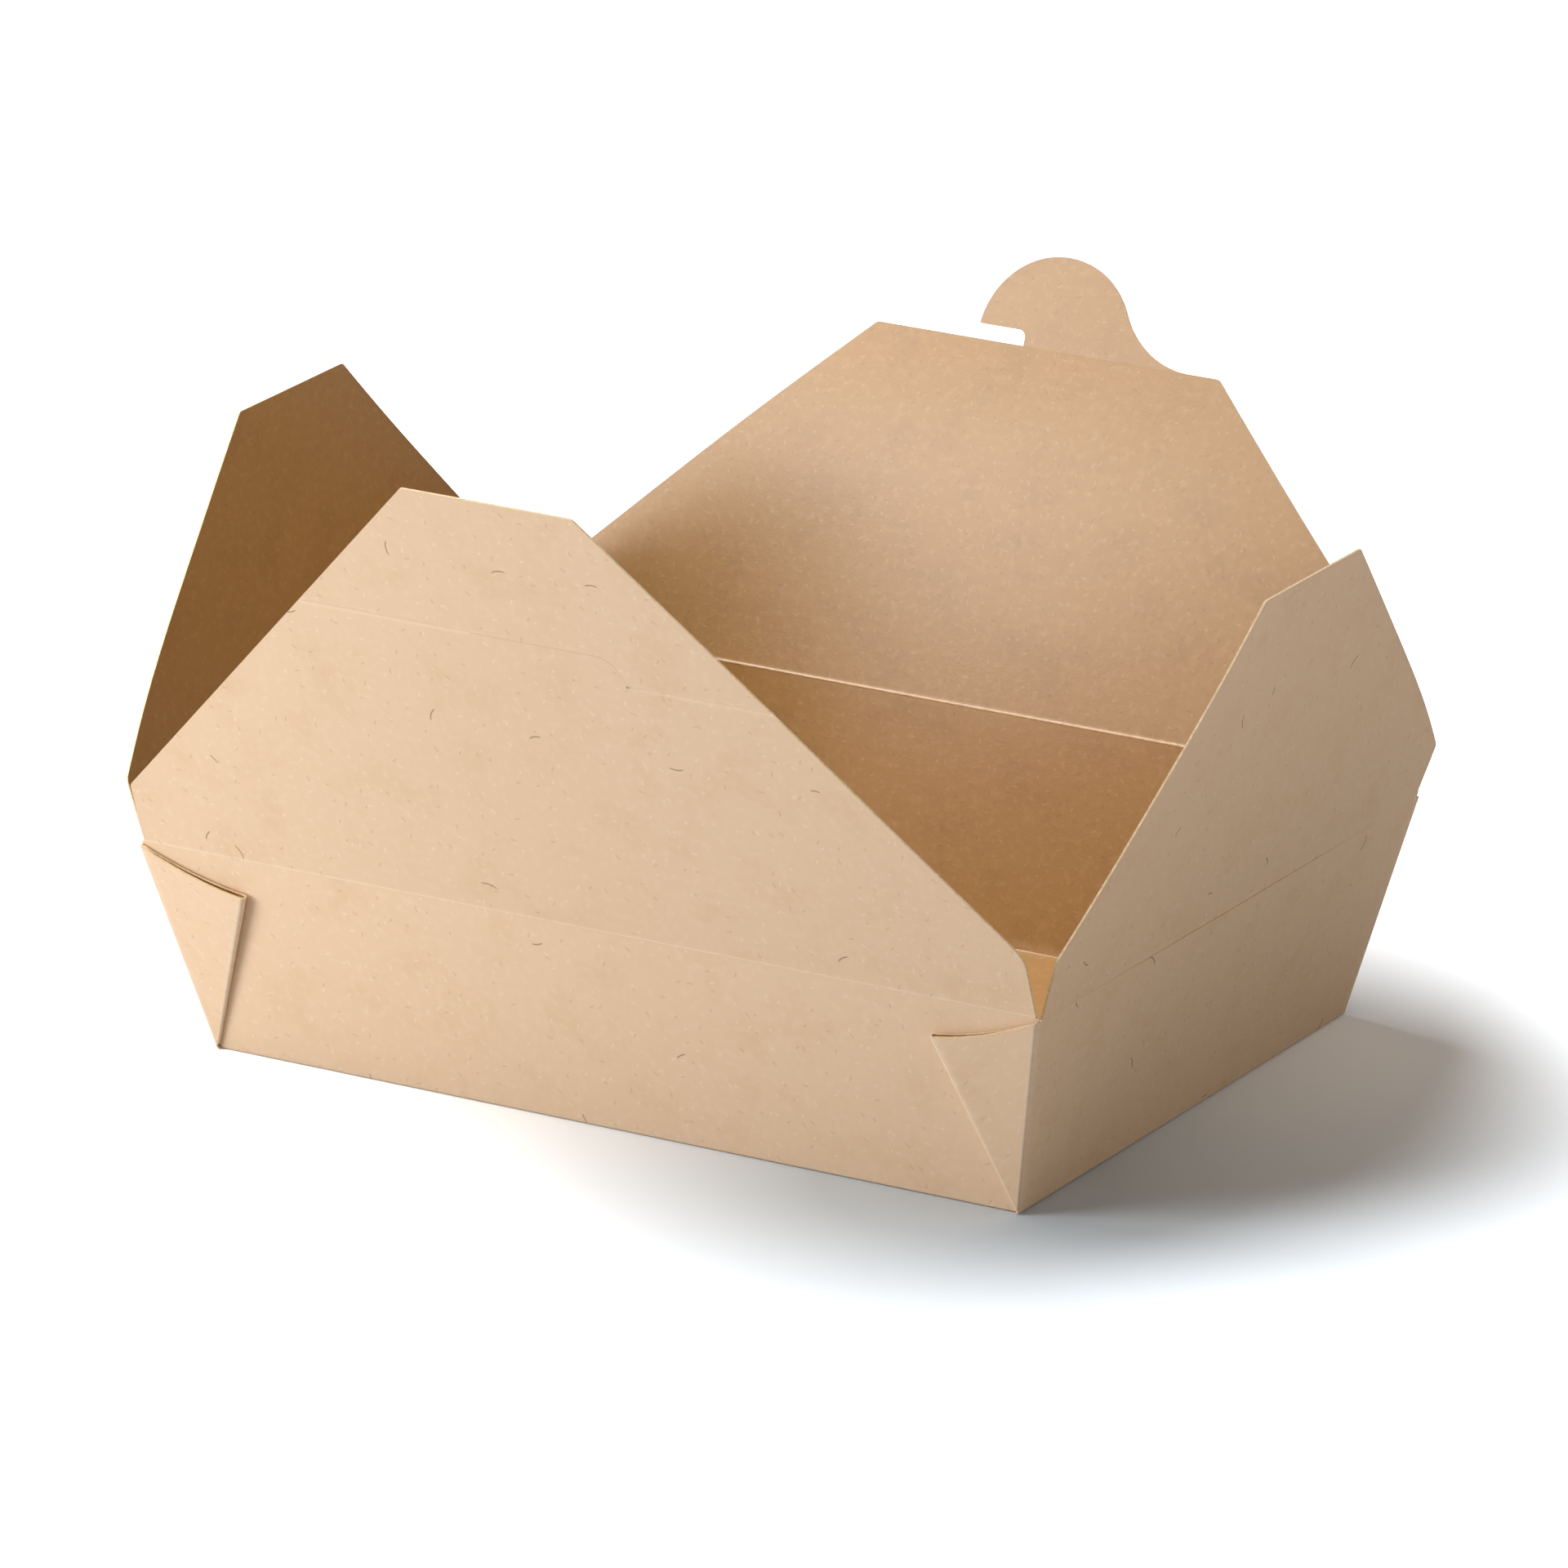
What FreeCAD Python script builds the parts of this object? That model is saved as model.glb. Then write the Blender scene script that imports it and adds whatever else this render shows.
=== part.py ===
import FreeCAD, Part

import math
import os

# A folded takeaway box in one piece of kraft board, standing open. The flaring tray has a
# web at each corner, folded on its diagonal and glued flat on the outside of the long wall.
# Four flaps stand open on their creases along the rim. The ends close first, then the front
# and then the back, whose hook goes through the slit in the front flap.
# Millimetres. The origin is the middle of the underside, +Z is up and the front faces -Y.

# Board and tray
BOARD = 0.45
BASE_LENGTH = 197.0
BASE_WIDTH = 140.0
RIM_HEIGHT = 48.0
END_FLARE = 11.0
SIDE_FLARE = 12.0

# Corner webs: the length of the diagonal fold from the base corner and the dip of the cut
# edge across the top. Each layer's foot is pressed onto the layer under it, given as how
# far its middle is from the wall in board thicknesses, and at the rim it lifts off by a gap.
WEB_FOLD_LENGTH = 44.0
WEB_EDGE_DIP = 1.3
INNER_WEB_FOOT_SHARE = 0.4
OUTER_WEB_FOOT_SHARE = 1.0
INNER_WEB_GAP = 0.25
OUTER_WEB_GAP = 0.1

# A fold's round back stands this much proud of the board on both sides
FOLD_PROUD = 0.03

# Creases along the rim: a rolled bead on each flap, the slit of air under it, and the step
# in height from the end flaps' crease to the front one, and from that to the back one
CREASE_RADIUS = 0.35
CREASE_GAP = 0.1
CREASE_STEP = 0.7

# Flaps: how far each leans out from upright as it stands open
FRONT_LEAN_ANGLE = 19.9
BACK_LEAN_ANGLE = 23.4
LEFT_LEAN_ANGLE = 14.5
RIGHT_LEAN_ANGLE = 18.1

# Flap outlines: a straight side rises from the crease, then slants in to the top edge
LONG_FLAP_INSET = 0.6
LONG_FLAP_SIDE = 15.0
FRONT_FLAP_HEIGHT = 109.4
FRONT_FLAP_TOP = 41.0
FRONT_LEFT_CORNER_RADIUS = 1.0
FRONT_RIGHT_CORNER_RADIUS = 7.0
BACK_FLAP_HEIGHT = 79.6
BACK_FLAP_TOP = 85.5
END_FLAP_INSET = 0.9
END_FLAP_SIDE = 14.0
END_FLAP_HEIGHT = 78.0
END_FLAP_TOP = 41.0
END_FLAP_BEND_RADIUS = 560.0
SIDE_CORNER_RADIUS = 2.0
TOP_CORNER_RADIUS = 1.5

# Hook on the back flap, as seen from the front: a round lobe with a slot under its left side,
# which ends short of the flap's middle, and a hollow on its right
HOOK_RADIUS = 18.7
HOOK_OFFSET = 1.0
HOOK_RISE = 2.0
HOOK_SLOT_WIDTH = 3.4
HOOK_SLOT_END = 6.0
HOOK_SLOT_RADIUS = 1.7
HOOK_HOLLOW_RADIUS = 20.0

# Slit in the front flap for the hook, from left to right of the flap's middle, and the two
# creases that help it bend there
SLIT_LEFT = 11.0
SLIT_RIGHT = 25.0
SLIT_HEIGHT = 74.5
SLIT_DROP = 6.9
SLIT_WIDTH = 0.2
SCORE_RADIUS = 0.4
SCORE_DEPTH = 0.12

PART_FOLDER = "parts"
UP = FreeCAD.Vector(0, 0, 1)


class Plane:
    """A flat layer of board: a point on its mid-plane and the outward normal."""

    def __init__(self, point, normal):
        self.normal = FreeCAD.Vector(normal).normalize()
        self.level = self.normal.dot(point)


def meet(first, second, third):
    """Return the point where three planes meet."""
    a = second.normal.cross(third.normal)
    b = third.normal.cross(first.normal)
    c = first.normal.cross(second.normal)
    return (a * first.level + b * second.level + c * third.level) / first.normal.dot(a)


def level_plane(height):
    """Return the level plane at a height."""
    return Plane(FreeCAD.Vector(0, 0, height), UP)


def wall_plane(facing, reach, flare, foot=-BOARD / 2, rim=-BOARD / 2):
    """Return the mid-plane of a wall or of a web layer that lies on it.

    `foot` and `rim` are how far the mid-plane is from the wall's outer face at the wall's
    lower edge and at the rim.
    """
    slope = math.hypot(flare, RIM_HEIGHT)
    tilt = math.atan2(flare, RIM_HEIGHT) + math.atan2(rim - foot, slope)
    normal = facing * math.cos(tilt) - UP * math.sin(tilt)
    return Plane(facing * reach + normal * foot, normal)


def sheet(edges, plane):
    """Return a flat layer of board from the edges of its outline on the mid-plane."""
    face = Part.Face(Part.Wire(edges))
    face.translate(plane.normal * (-BOARD / 2))
    return face.extrude(plane.normal * BOARD)


def polygon_edges(points):
    """Return the straight edges that join the points in a ring."""
    return [Part.makeLine(points[i - 1], points[i]) for i in range(len(points))]


def fold(start, end, radius=BOARD / 2 + FOLD_PROUD):
    """Return the round back of a fold along a straight line."""
    run = end - start
    return Part.makeCylinder(radius, run.Length, start, run)


# The four sides: which way each faces, how far its lower edge is from the middle, its flare
FRONT = (FreeCAD.Vector(0, -1, 0), BASE_WIDTH / 2, SIDE_FLARE)
BACK = (FreeCAD.Vector(0, 1, 0), BASE_WIDTH / 2, SIDE_FLARE)
LEFT = (FreeCAD.Vector(-1, 0, 0), BASE_LENGTH / 2, END_FLARE)
RIGHT = (FreeCAD.Vector(1, 0, 0), BASE_LENGTH / 2, END_FLARE)

END_CREASE_HEIGHT = RIM_HEIGHT
FRONT_CREASE_HEIGHT = END_CREASE_HEIGHT + CREASE_STEP
BACK_CREASE_HEIGHT = FRONT_CREASE_HEIGHT + CREASE_STEP
WALL_DROP = CREASE_RADIUS + CREASE_GAP
INNER_WEB_RIM = INNER_WEB_GAP + BOARD / 2
OUTER_WEB_RIM = INNER_WEB_RIM + BOARD + OUTER_WEB_GAP


def crease_distance(side, height):
    """Return how far out from the middle a wall's mid-plane is at a height."""
    facing, reach, flare = side
    return reach + flare * height / RIM_HEIGHT - BOARD / 2 * math.hypot(1, flare / RIM_HEIGHT)


def base_sheet():
    """Return the flat base, out to the mid-planes of the four walls."""
    floor = level_plane(BOARD / 2)
    corners = []
    for long_side, end_side in ((FRONT, LEFT), (FRONT, RIGHT), (BACK, RIGHT), (BACK, LEFT)):
        corners.append(meet(wall_plane(*long_side), wall_plane(*end_side), floor))
    folds = [fold(corners[i - 1], corners[i]) for i in range(len(corners))]
    return [sheet(polygon_edges(corners), floor)] + folds


def long_wall(side, top_height):
    """Return a long wall between the mid-planes of the two end walls."""
    wall = wall_plane(*side)
    foot_height = BOARD / 2
    ring = ((LEFT, foot_height), (RIGHT, foot_height), (RIGHT, top_height), (LEFT, top_height))
    corners = [meet(wall, wall_plane(*end_side), level_plane(height)) for end_side, height in ring]
    return sheet(polygon_edges(corners), wall)


def web_planes(long_side):
    """Return the mid-planes of a corner web's inner and outer layer on a long wall."""
    inner = wall_plane(*long_side, foot=INNER_WEB_FOOT_SHARE * BOARD, rim=INNER_WEB_RIM)
    outer = wall_plane(*long_side, foot=OUTER_WEB_FOOT_SHARE * BOARD, rim=OUTER_WEB_RIM)
    return inner, outer


def end_wall(side):
    """Return an end wall, wide enough to wrap the outer web layer at each corner."""
    wall = wall_plane(*side)
    foot_height = BOARD / 2
    top_height = END_CREASE_HEIGHT - WALL_DROP
    ring = ((FRONT, foot_height), (BACK, foot_height), (BACK, top_height), (FRONT, top_height))
    corners = [meet(wall, web_planes(long_side)[1], level_plane(height)) for long_side, height in ring]
    return sheet(polygon_edges(corners), wall)


def web_angle():
    """Return half the angle of the flat web between the two walls at a base corner."""
    front_lean = math.atan2(END_FLARE, math.hypot(RIM_HEIGHT, SIDE_FLARE))
    end_lean = math.atan2(SIDE_FLARE, math.hypot(RIM_HEIGHT, END_FLARE))
    return (math.pi / 2 - front_lean - end_lean) / 2


def web_layer(plane, end_plane, inward):
    """Return one layer of a corner web, its base corner and the top of its diagonal fold.

    The outline has the corner edge, the diagonal fold at the web's half angle from it, and
    the cut edge across the top, an arc that dips towards the base corner.
    """
    foot = meet(plane, end_plane, level_plane(BOARD / 2))
    corner_top = meet(plane, end_plane, level_plane(END_CREASE_HEIGHT - WALL_DROP))
    corner_edge = (corner_top - foot).normalize()
    across = plane.normal.cross(corner_edge).normalize()
    if across.dot(inward) < 0:
        across = across * -1
    half = web_angle()
    fold_top = foot + (corner_edge * math.cos(half) + across * math.sin(half)) * WEB_FOLD_LENGTH
    middle = (fold_top + corner_top) / 2
    dip = middle + (foot - middle).normalize() * WEB_EDGE_DIP
    edges = [
        Part.makeLine(foot, corner_top),
        Part.Arc(corner_top, dip, fold_top).toShape(),
        Part.makeLine(fold_top, foot),
    ]
    return sheet(edges, plane), foot, fold_top


def corner_web(long_side, end_side):
    """Return a corner web: two layers, the round diagonal fold and the round corner fold."""
    inner_plane, outer_plane = web_planes(long_side)
    end_plane = wall_plane(*end_side)
    inward = end_side[0] * -1
    inner, inner_foot, inner_top = web_layer(inner_plane, end_plane, inward)
    outer, outer_foot, outer_top = web_layer(outer_plane, end_plane, inward)
    radius = ((outer_top - inner_top).Length + BOARD) / 2 + FOLD_PROUD
    diagonal = fold((inner_foot + outer_foot) / 2, (inner_top + outer_top) / 2, radius)
    corner_top = meet(outer_plane, end_plane, level_plane(END_CREASE_HEIGHT - WALL_DROP))
    return [inner, outer, diagonal, fold(outer_foot, corner_top)]


def under_the_base():
    """Return the space under the level that the box stands on."""
    length = 2 * BASE_LENGTH
    width = 2 * BASE_WIDTH
    return Part.makeBox(length, width, RIM_HEIGHT, FreeCAD.Vector(-length / 2, -width / 2, -RIM_HEIGHT))


def tray():
    """Return the tray: base, four walls and four corner webs as one folded sheet."""
    pieces = base_sheet()
    pieces.append(long_wall(FRONT, FRONT_CREASE_HEIGHT - WALL_DROP))
    pieces.append(long_wall(BACK, BACK_CREASE_HEIGHT - WALL_DROP))
    for end_side in (LEFT, RIGHT):
        pieces.append(end_wall(end_side))
        for long_side in (FRONT, BACK):
            pieces.extend(corner_web(long_side, end_side))
    return pieces[0].multiFuse(pieces[1:]).cut(under_the_base()).removeSplitter()


def rounded_outline(points, radii):
    """Return the edges of a ring of points, with an arc of its own radius at each point."""
    starts = []
    ends = []
    arcs = []
    for i, (point, radius) in enumerate(zip(points, radii)):
        before = (points[i - 1] - point).normalize()
        after = (points[(i + 1) % len(points)] - point).normalize()
        half = before.getAngle(after) / 2
        reach = radius / math.tan(half)
        starts.append(point + before * reach)
        ends.append(point + after * reach)
        if radius > 0:
            centre_way = (before + after).normalize()
            bulge = point + centre_way * (radius / math.sin(half) - radius)
            arcs.append(Part.Arc(starts[-1], bulge, ends[-1]).toShape())
    lines = [Part.makeLine(ends[i - 1], starts[i]) for i in range(len(points))]
    return Part.sortEdges(lines + arcs)[0]


def flap_frame(side, lean, crease_height):
    """Return the placement that stands a flap on its crease.

    The flap is drawn with X along the crease to the right as seen from outside, Y up the
    flap and Z outward, and with the crease's middle at the origin.
    """
    facing = side[0]
    along = UP.cross(facing)
    tilt = math.radians(lean)
    rise = UP * math.cos(tilt) + facing * math.sin(tilt)
    outward = along.cross(rise)
    foot = facing * crease_distance(side, crease_height) + UP * crease_height
    matrix = FreeCAD.Matrix(
        along.x, rise.x, outward.x, foot.x,
        along.y, rise.y, outward.y, foot.y,
        along.z, rise.z, outward.z, foot.z,
        0, 0, 0, 1)
    return FreeCAD.Placement(matrix)


def flat_board(edges):
    """Return a flat piece of board from its outline, centred on the drawing plane."""
    face = Part.Face(Part.Wire(edges))
    face.translate(FreeCAD.Vector(0, 0, -BOARD / 2))
    return face.extrude(FreeCAD.Vector(0, 0, BOARD))


def bent_board(edges, half_width, height):
    """Return a piece of board from its outline, bowed inward as it rises off the crease."""
    centre = FreeCAD.Vector(-half_width, 0, -END_FLAP_BEND_RADIUS)
    along = FreeCAD.Vector(1, 0, 0)
    outer = Part.makeCylinder(END_FLAP_BEND_RADIUS + BOARD / 2, 2 * half_width, centre, along)
    inner = Part.makeCylinder(END_FLAP_BEND_RADIUS - BOARD / 2, 2 * half_width, centre, along)
    face = Part.Face(Part.Wire(edges))
    face.translate(FreeCAD.Vector(0, 0, -height))
    return face.extrude(FreeCAD.Vector(0, 0, 2 * height)).common(outer.cut(inner))


def crease_bead(half_width):
    """Return the rolled bead along a flap's crease."""
    end = FreeCAD.Vector(half_width, 0, 0)
    return fold(end * -1, end, CREASE_RADIUS)


def place_flap(shape, side, lean, crease_height):
    """Return a drawn flap, cleaned and standing on its crease."""
    placed = shape.removeSplitter()
    placed.Placement = flap_frame(side, lean, crease_height)
    return placed


LONG_FLAP_HALF = crease_distance(RIGHT, RIM_HEIGHT) - LONG_FLAP_INSET
END_FLAP_HALF = crease_distance(FRONT, RIM_HEIGHT) - END_FLAP_INSET


def slit_cutter():
    """Return the slit: level from the left, then a quarter turn down to the right score."""
    depth = 2 * BOARD
    bend = SLIT_RIGHT - SLIT_DROP
    level = Part.makeBox(
        SLIT_LEFT + bend, SLIT_WIDTH, depth,
        FreeCAD.Vector(-SLIT_LEFT, SLIT_HEIGHT - SLIT_WIDTH / 2, -depth / 2))
    centre = FreeCAD.Vector(bend, SLIT_HEIGHT - SLIT_DROP, -depth / 2)
    outer = Part.makeCylinder(SLIT_DROP + SLIT_WIDTH / 2, depth, centre, UP, 90)
    inner = Part.makeCylinder(SLIT_DROP - SLIT_WIDTH / 2, depth, centre, UP, 90)
    return level.fuse(outer.cut(inner))


def slanted_edge_at(height):
    """Return how far from the middle the front flap's slanted edge is at a height."""
    share = (height - LONG_FLAP_SIDE) / (FRONT_FLAP_HEIGHT - LONG_FLAP_SIDE)
    return LONG_FLAP_HALF + share * (FRONT_FLAP_TOP / 2 - LONG_FLAP_HALF)


def scored(board, start_x, end_x, height):
    """Return the board with a pressed line: a groove outside and a bead inside."""
    offset = BOARD / 2 + SCORE_RADIUS - SCORE_DEPTH
    groove = fold(
        FreeCAD.Vector(start_x, height, offset), FreeCAD.Vector(end_x, height, offset), SCORE_RADIUS)
    sink = SCORE_RADIUS - BOARD / 2 - SCORE_DEPTH
    bead = fold(FreeCAD.Vector(start_x, height, sink), FreeCAD.Vector(end_x, height, sink), SCORE_RADIUS)
    inside = Part.makeBox(
        2 * LONG_FLAP_HALF, FRONT_FLAP_HEIGHT, 2 * SCORE_RADIUS,
        FreeCAD.Vector(-LONG_FLAP_HALF, 0, -2 * SCORE_RADIUS))
    return board.fuse(bead.common(inside)).cut(groove)


def front_flap():
    """Return the front flap, with its slit and the two scores that run out to its edges."""
    top = FRONT_FLAP_TOP / 2
    points = [
        FreeCAD.Vector(-LONG_FLAP_HALF, 0, 0),
        FreeCAD.Vector(LONG_FLAP_HALF, 0, 0),
        FreeCAD.Vector(LONG_FLAP_HALF, LONG_FLAP_SIDE, 0),
        FreeCAD.Vector(top, FRONT_FLAP_HEIGHT, 0),
        FreeCAD.Vector(-top, FRONT_FLAP_HEIGHT, 0),
        FreeCAD.Vector(-LONG_FLAP_HALF, LONG_FLAP_SIDE, 0),
    ]
    radii = [0, 0, FRONT_RIGHT_CORNER_RADIUS, TOP_CORNER_RADIUS, TOP_CORNER_RADIUS,
             FRONT_LEFT_CORNER_RADIUS]
    board = flat_board(rounded_outline(points, radii))
    right_score = SLIT_HEIGHT - SLIT_DROP
    left_end = -slanted_edge_at(SLIT_HEIGHT) + SCORE_RADIUS
    right_end = slanted_edge_at(right_score) - SCORE_RADIUS
    board = scored(board, left_end, -SLIT_LEFT - SCORE_RADIUS, SLIT_HEIGHT)
    board = scored(board, SLIT_RIGHT + SCORE_RADIUS, right_end, right_score)
    board = board.cut(slit_cutter()).fuse(crease_bead(LONG_FLAP_HALF))
    return place_flap(board, FRONT, FRONT_LEAN_ANGLE, FRONT_CREASE_HEIGHT)


def hook_edges(top_height):
    """Return the hook's edges, from the flap's right top edge over to its left top edge.

    As seen from outside, the lobe's slot opens on the right and the hollow is on the left.
    The hollow's arc touches both the top edge and the lobe. The slot's lower side is the top
    edge itself, and the inner end of its upper side is rounded.
    """
    centre_x = -HOOK_OFFSET
    centre_y = top_height + HOOK_RISE
    slot_top = top_height + HOOK_SLOT_WIDTH
    lobe_half = math.sqrt(HOOK_RADIUS ** 2 - (slot_top - centre_y) ** 2)
    tip = FreeCAD.Vector(centre_x + lobe_half, slot_top, 0)
    hollow_rise = HOOK_HOLLOW_RADIUS - HOOK_RISE
    reach = math.sqrt((HOOK_RADIUS + HOOK_HOLLOW_RADIUS) ** 2 - hollow_rise ** 2)
    hollow_x = centre_x - reach
    share = HOOK_RADIUS / (HOOK_RADIUS + HOOK_HOLLOW_RADIUS)
    touch = FreeCAD.Vector(centre_x - share * reach, centre_y + share * hollow_rise, 0)
    lobe_top = FreeCAD.Vector(centre_x, centre_y + HOOK_RADIUS, 0)
    hollow_angle = math.atan2(-hollow_rise, reach)
    middle_angle = (hollow_angle - math.pi / 2) / 2
    hollow_middle = FreeCAD.Vector(
        hollow_x + HOOK_HOLLOW_RADIUS * math.cos(middle_angle),
        top_height + HOOK_HOLLOW_RADIUS + HOOK_HOLLOW_RADIUS * math.sin(middle_angle), 0)
    hollow_foot = FreeCAD.Vector(hollow_x, top_height, 0)
    round_centre = FreeCAD.Vector(HOOK_SLOT_END + HOOK_SLOT_RADIUS, slot_top - HOOK_SLOT_RADIUS, 0)
    diagonal = HOOK_SLOT_RADIUS / math.sqrt(2)
    slot_foot = FreeCAD.Vector(HOOK_SLOT_END, top_height, 0)
    round_low = FreeCAD.Vector(HOOK_SLOT_END, round_centre.y, 0)
    round_high = FreeCAD.Vector(round_centre.x, slot_top, 0)
    round_middle = round_centre + FreeCAD.Vector(-diagonal, diagonal, 0)
    edges = [
        Part.makeLine(slot_foot, round_low),
        Part.Arc(round_low, round_middle, round_high).toShape(),
        Part.makeLine(round_high, tip),
        Part.Arc(tip, lobe_top, touch).toShape(),
        Part.Arc(touch, hollow_middle, hollow_foot).toShape(),
    ]
    return edges, slot_foot, hollow_foot


def back_flap():
    """Return the back flap with its hook."""
    top = BACK_FLAP_TOP / 2
    hook, slot_foot, hollow_foot = hook_edges(BACK_FLAP_HEIGHT)
    right_top = FreeCAD.Vector(top, BACK_FLAP_HEIGHT, 0)
    left_top = FreeCAD.Vector(-top, BACK_FLAP_HEIGHT, 0)
    lower = [
        left_top,
        FreeCAD.Vector(-LONG_FLAP_HALF, LONG_FLAP_SIDE, 0),
        FreeCAD.Vector(-LONG_FLAP_HALF, 0, 0),
        FreeCAD.Vector(LONG_FLAP_HALF, 0, 0),
        FreeCAD.Vector(LONG_FLAP_HALF, LONG_FLAP_SIDE, 0),
        right_top,
    ]
    radii = [TOP_CORNER_RADIUS, SIDE_CORNER_RADIUS, 0, 0, SIDE_CORNER_RADIUS, TOP_CORNER_RADIUS]
    body = flat_board(rounded_outline(lower, radii))
    lobe = flat_board(Part.sortEdges(hook + [Part.makeLine(hollow_foot, slot_foot)])[0])
    board = body.fuse([lobe, crease_bead(LONG_FLAP_HALF)])
    return place_flap(board, BACK, BACK_LEAN_ANGLE, BACK_CREASE_HEIGHT)


def end_flap(side, lean):
    """Return an end flap, a little bowed as the real board is."""
    top = END_FLAP_TOP / 2
    points = [
        FreeCAD.Vector(-END_FLAP_HALF, 0, 0),
        FreeCAD.Vector(END_FLAP_HALF, 0, 0),
        FreeCAD.Vector(END_FLAP_HALF, END_FLAP_SIDE, 0),
        FreeCAD.Vector(top, END_FLAP_HEIGHT, 0),
        FreeCAD.Vector(-top, END_FLAP_HEIGHT, 0),
        FreeCAD.Vector(-END_FLAP_HALF, END_FLAP_SIDE, 0),
    ]
    radii = [0, 0, SIDE_CORNER_RADIUS, TOP_CORNER_RADIUS, TOP_CORNER_RADIUS, SIDE_CORNER_RADIUS]
    board = bent_board(rounded_outline(points, radii), END_FLAP_HALF, END_FLAP_HEIGHT)
    return place_flap(board.fuse(crease_bead(END_FLAP_HALF)), side, lean, END_CREASE_HEIGHT)


def main():
    """Build every node and write its file."""
    os.makedirs(PART_FOLDER, exist_ok=True)
    nodes = {
        "tray": tray(),
        "front_flap": front_flap(),
        "back_flap": back_flap(),
        "left_end_flap": end_flap(LEFT, LEFT_LEAN_ANGLE),
        "right_end_flap": end_flap(RIGHT, RIGHT_LEAN_ANGLE),
    }
    for name, shape in nodes.items():
        shape.exportStep(os.path.join(PART_FOLDER, name + ".step"))
        print(name, "solids", len(shape.Solids), "valid", shape.isValid())
    creases = ((FRONT, FRONT_CREASE_HEIGHT), (BACK, BACK_CREASE_HEIGHT), (RIGHT, END_CREASE_HEIGHT))
    for side, height in creases:
        print("crease", round(crease_distance(side, height), 4), "at height", round(height, 4))


main()
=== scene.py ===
# The looks of a folded kraft board takeaway box that stands open. The tray and its four flaps are
# rebuilt as bent sheets of board with two faces, pale cut edges and rolled creases, each on the
# body that its solid rides on. Sizes are millimetres until a mesh is made, which is in metres.

import logging
import math
from dataclasses import dataclass, replace
from enum import Enum

import bpy
import numpy as np
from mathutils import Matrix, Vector


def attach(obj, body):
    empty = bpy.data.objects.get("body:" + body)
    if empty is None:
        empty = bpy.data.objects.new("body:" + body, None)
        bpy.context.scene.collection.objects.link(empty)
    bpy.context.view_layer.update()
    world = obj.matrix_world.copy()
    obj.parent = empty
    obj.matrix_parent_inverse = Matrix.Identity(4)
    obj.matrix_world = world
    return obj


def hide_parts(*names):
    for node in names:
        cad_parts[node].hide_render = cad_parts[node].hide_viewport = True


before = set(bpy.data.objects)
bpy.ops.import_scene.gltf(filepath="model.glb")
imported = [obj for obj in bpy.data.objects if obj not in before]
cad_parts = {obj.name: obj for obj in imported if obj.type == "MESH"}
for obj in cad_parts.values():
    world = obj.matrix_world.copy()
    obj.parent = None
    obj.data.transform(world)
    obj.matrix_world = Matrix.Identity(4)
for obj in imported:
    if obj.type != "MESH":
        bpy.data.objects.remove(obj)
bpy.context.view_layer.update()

LOG = logging.getLogger("takeaway_box")
MM = 0.001
HALF_BOARD = 0.225
UP = np.array([0.0, 0.0, 1.0])
# Stations closer than this, in mm, are one station
SAME_STATION = 1e-6
# Crease wear and painted highlight for a row that turns by one radian: a full crease is reached at
# a quarter of it
WEAR_AND_HIGHLIGHT_PER_TURN = 4
# How far down a crease's bead, in mm under the hinge line, a flap's outer face stays flat
BEAD_FLAT = 0.2
# How far a flap's side is in from the end of its crease, in mm
LONG_FLAP_INSET = 0.6
END_FLAP_INSET = 0.9
# Where each flap's middle lies on the blank, in mm, as distance along it and across it
FLAP_PLACES = {"FRONT": (0, 130), "BACK": (0, -130), "LEFT": (-300, 60), "RIGHT": (300, 60)}


class Side(Enum):
    """The four sides of the box, by the way that each faces."""

    FRONT = (0.0, -1.0, 0.0)
    BACK = (0.0, 1.0, 0.0)
    LEFT = (-1.0, 0.0, 0.0)
    RIGHT = (1.0, 0.0, 0.0)

    @property
    def facing(self) -> np.ndarray:
        """The level direction that the side faces."""
        return np.array(self.value)

    @property
    def along(self) -> np.ndarray:
        """The level direction to the right, as the side is seen from outside."""
        return np.cross(UP, self.facing)


class Face(Enum):
    """The material slots of every sheet of board."""

    OUTER = 0
    INNER = 1
    EDGE = 2


@dataclass(frozen=True)
class BoxSizes:
    """Sizes that the tray and the flaps share."""

    base_length: float = 197.0
    base_width: float = 140.0
    rim_height: float = 48.0
    end_flare: float = 11.0
    side_flare: float = 12.0
    crease_step: float = 0.7
    bead_radius: float = 0.35

    def reach(self, side: Side) -> float:
        """How far the side's lower edge is from the middle."""
        return (self.base_length if side in (Side.LEFT, Side.RIGHT) else self.base_width) / 2

    def flare(self, side: Side) -> float:
        """How far the side's wall leans out over the rim's height."""
        return self.end_flare if side in (Side.LEFT, Side.RIGHT) else self.side_flare

    def crease_height(self, side: Side) -> float:
        """The height of the side's crease: ends lowest, then the front, then the back."""
        steps = {Side.LEFT: 0, Side.RIGHT: 0, Side.FRONT: 1, Side.BACK: 2}
        return self.rim_height + steps[side] * self.crease_step

    def wall_distance(self, side: Side, height: float) -> float:
        """How far out from the middle the wall's mid-plane is at a height."""
        slope = self.flare(side) / self.rim_height
        return self.reach(side) + slope * height - HALF_BOARD * math.hypot(1, slope)

    def wall_plane(self, side: Side, foot: float = -HALF_BOARD, rim: float = -HALF_BOARD) -> tuple:
        """The plane of a wall, or of a layer that lies on it.

        Args:
            side: the wall's side.
            foot: distance of the plane from the wall's outer face at its lower edge.
            rim: the same at the rim.

        Returns:
            The plane's outward normal and its distance from the origin.
        """
        slope_length = math.hypot(self.flare(side), self.rim_height)
        tilt = math.atan2(self.flare(side), self.rim_height) + math.atan2(rim - foot, slope_length)
        normal = side.facing * math.cos(tilt) - UP * math.sin(tilt)
        point = side.facing * self.reach(side) + normal * foot
        return normal, float(normal @ point)


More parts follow.
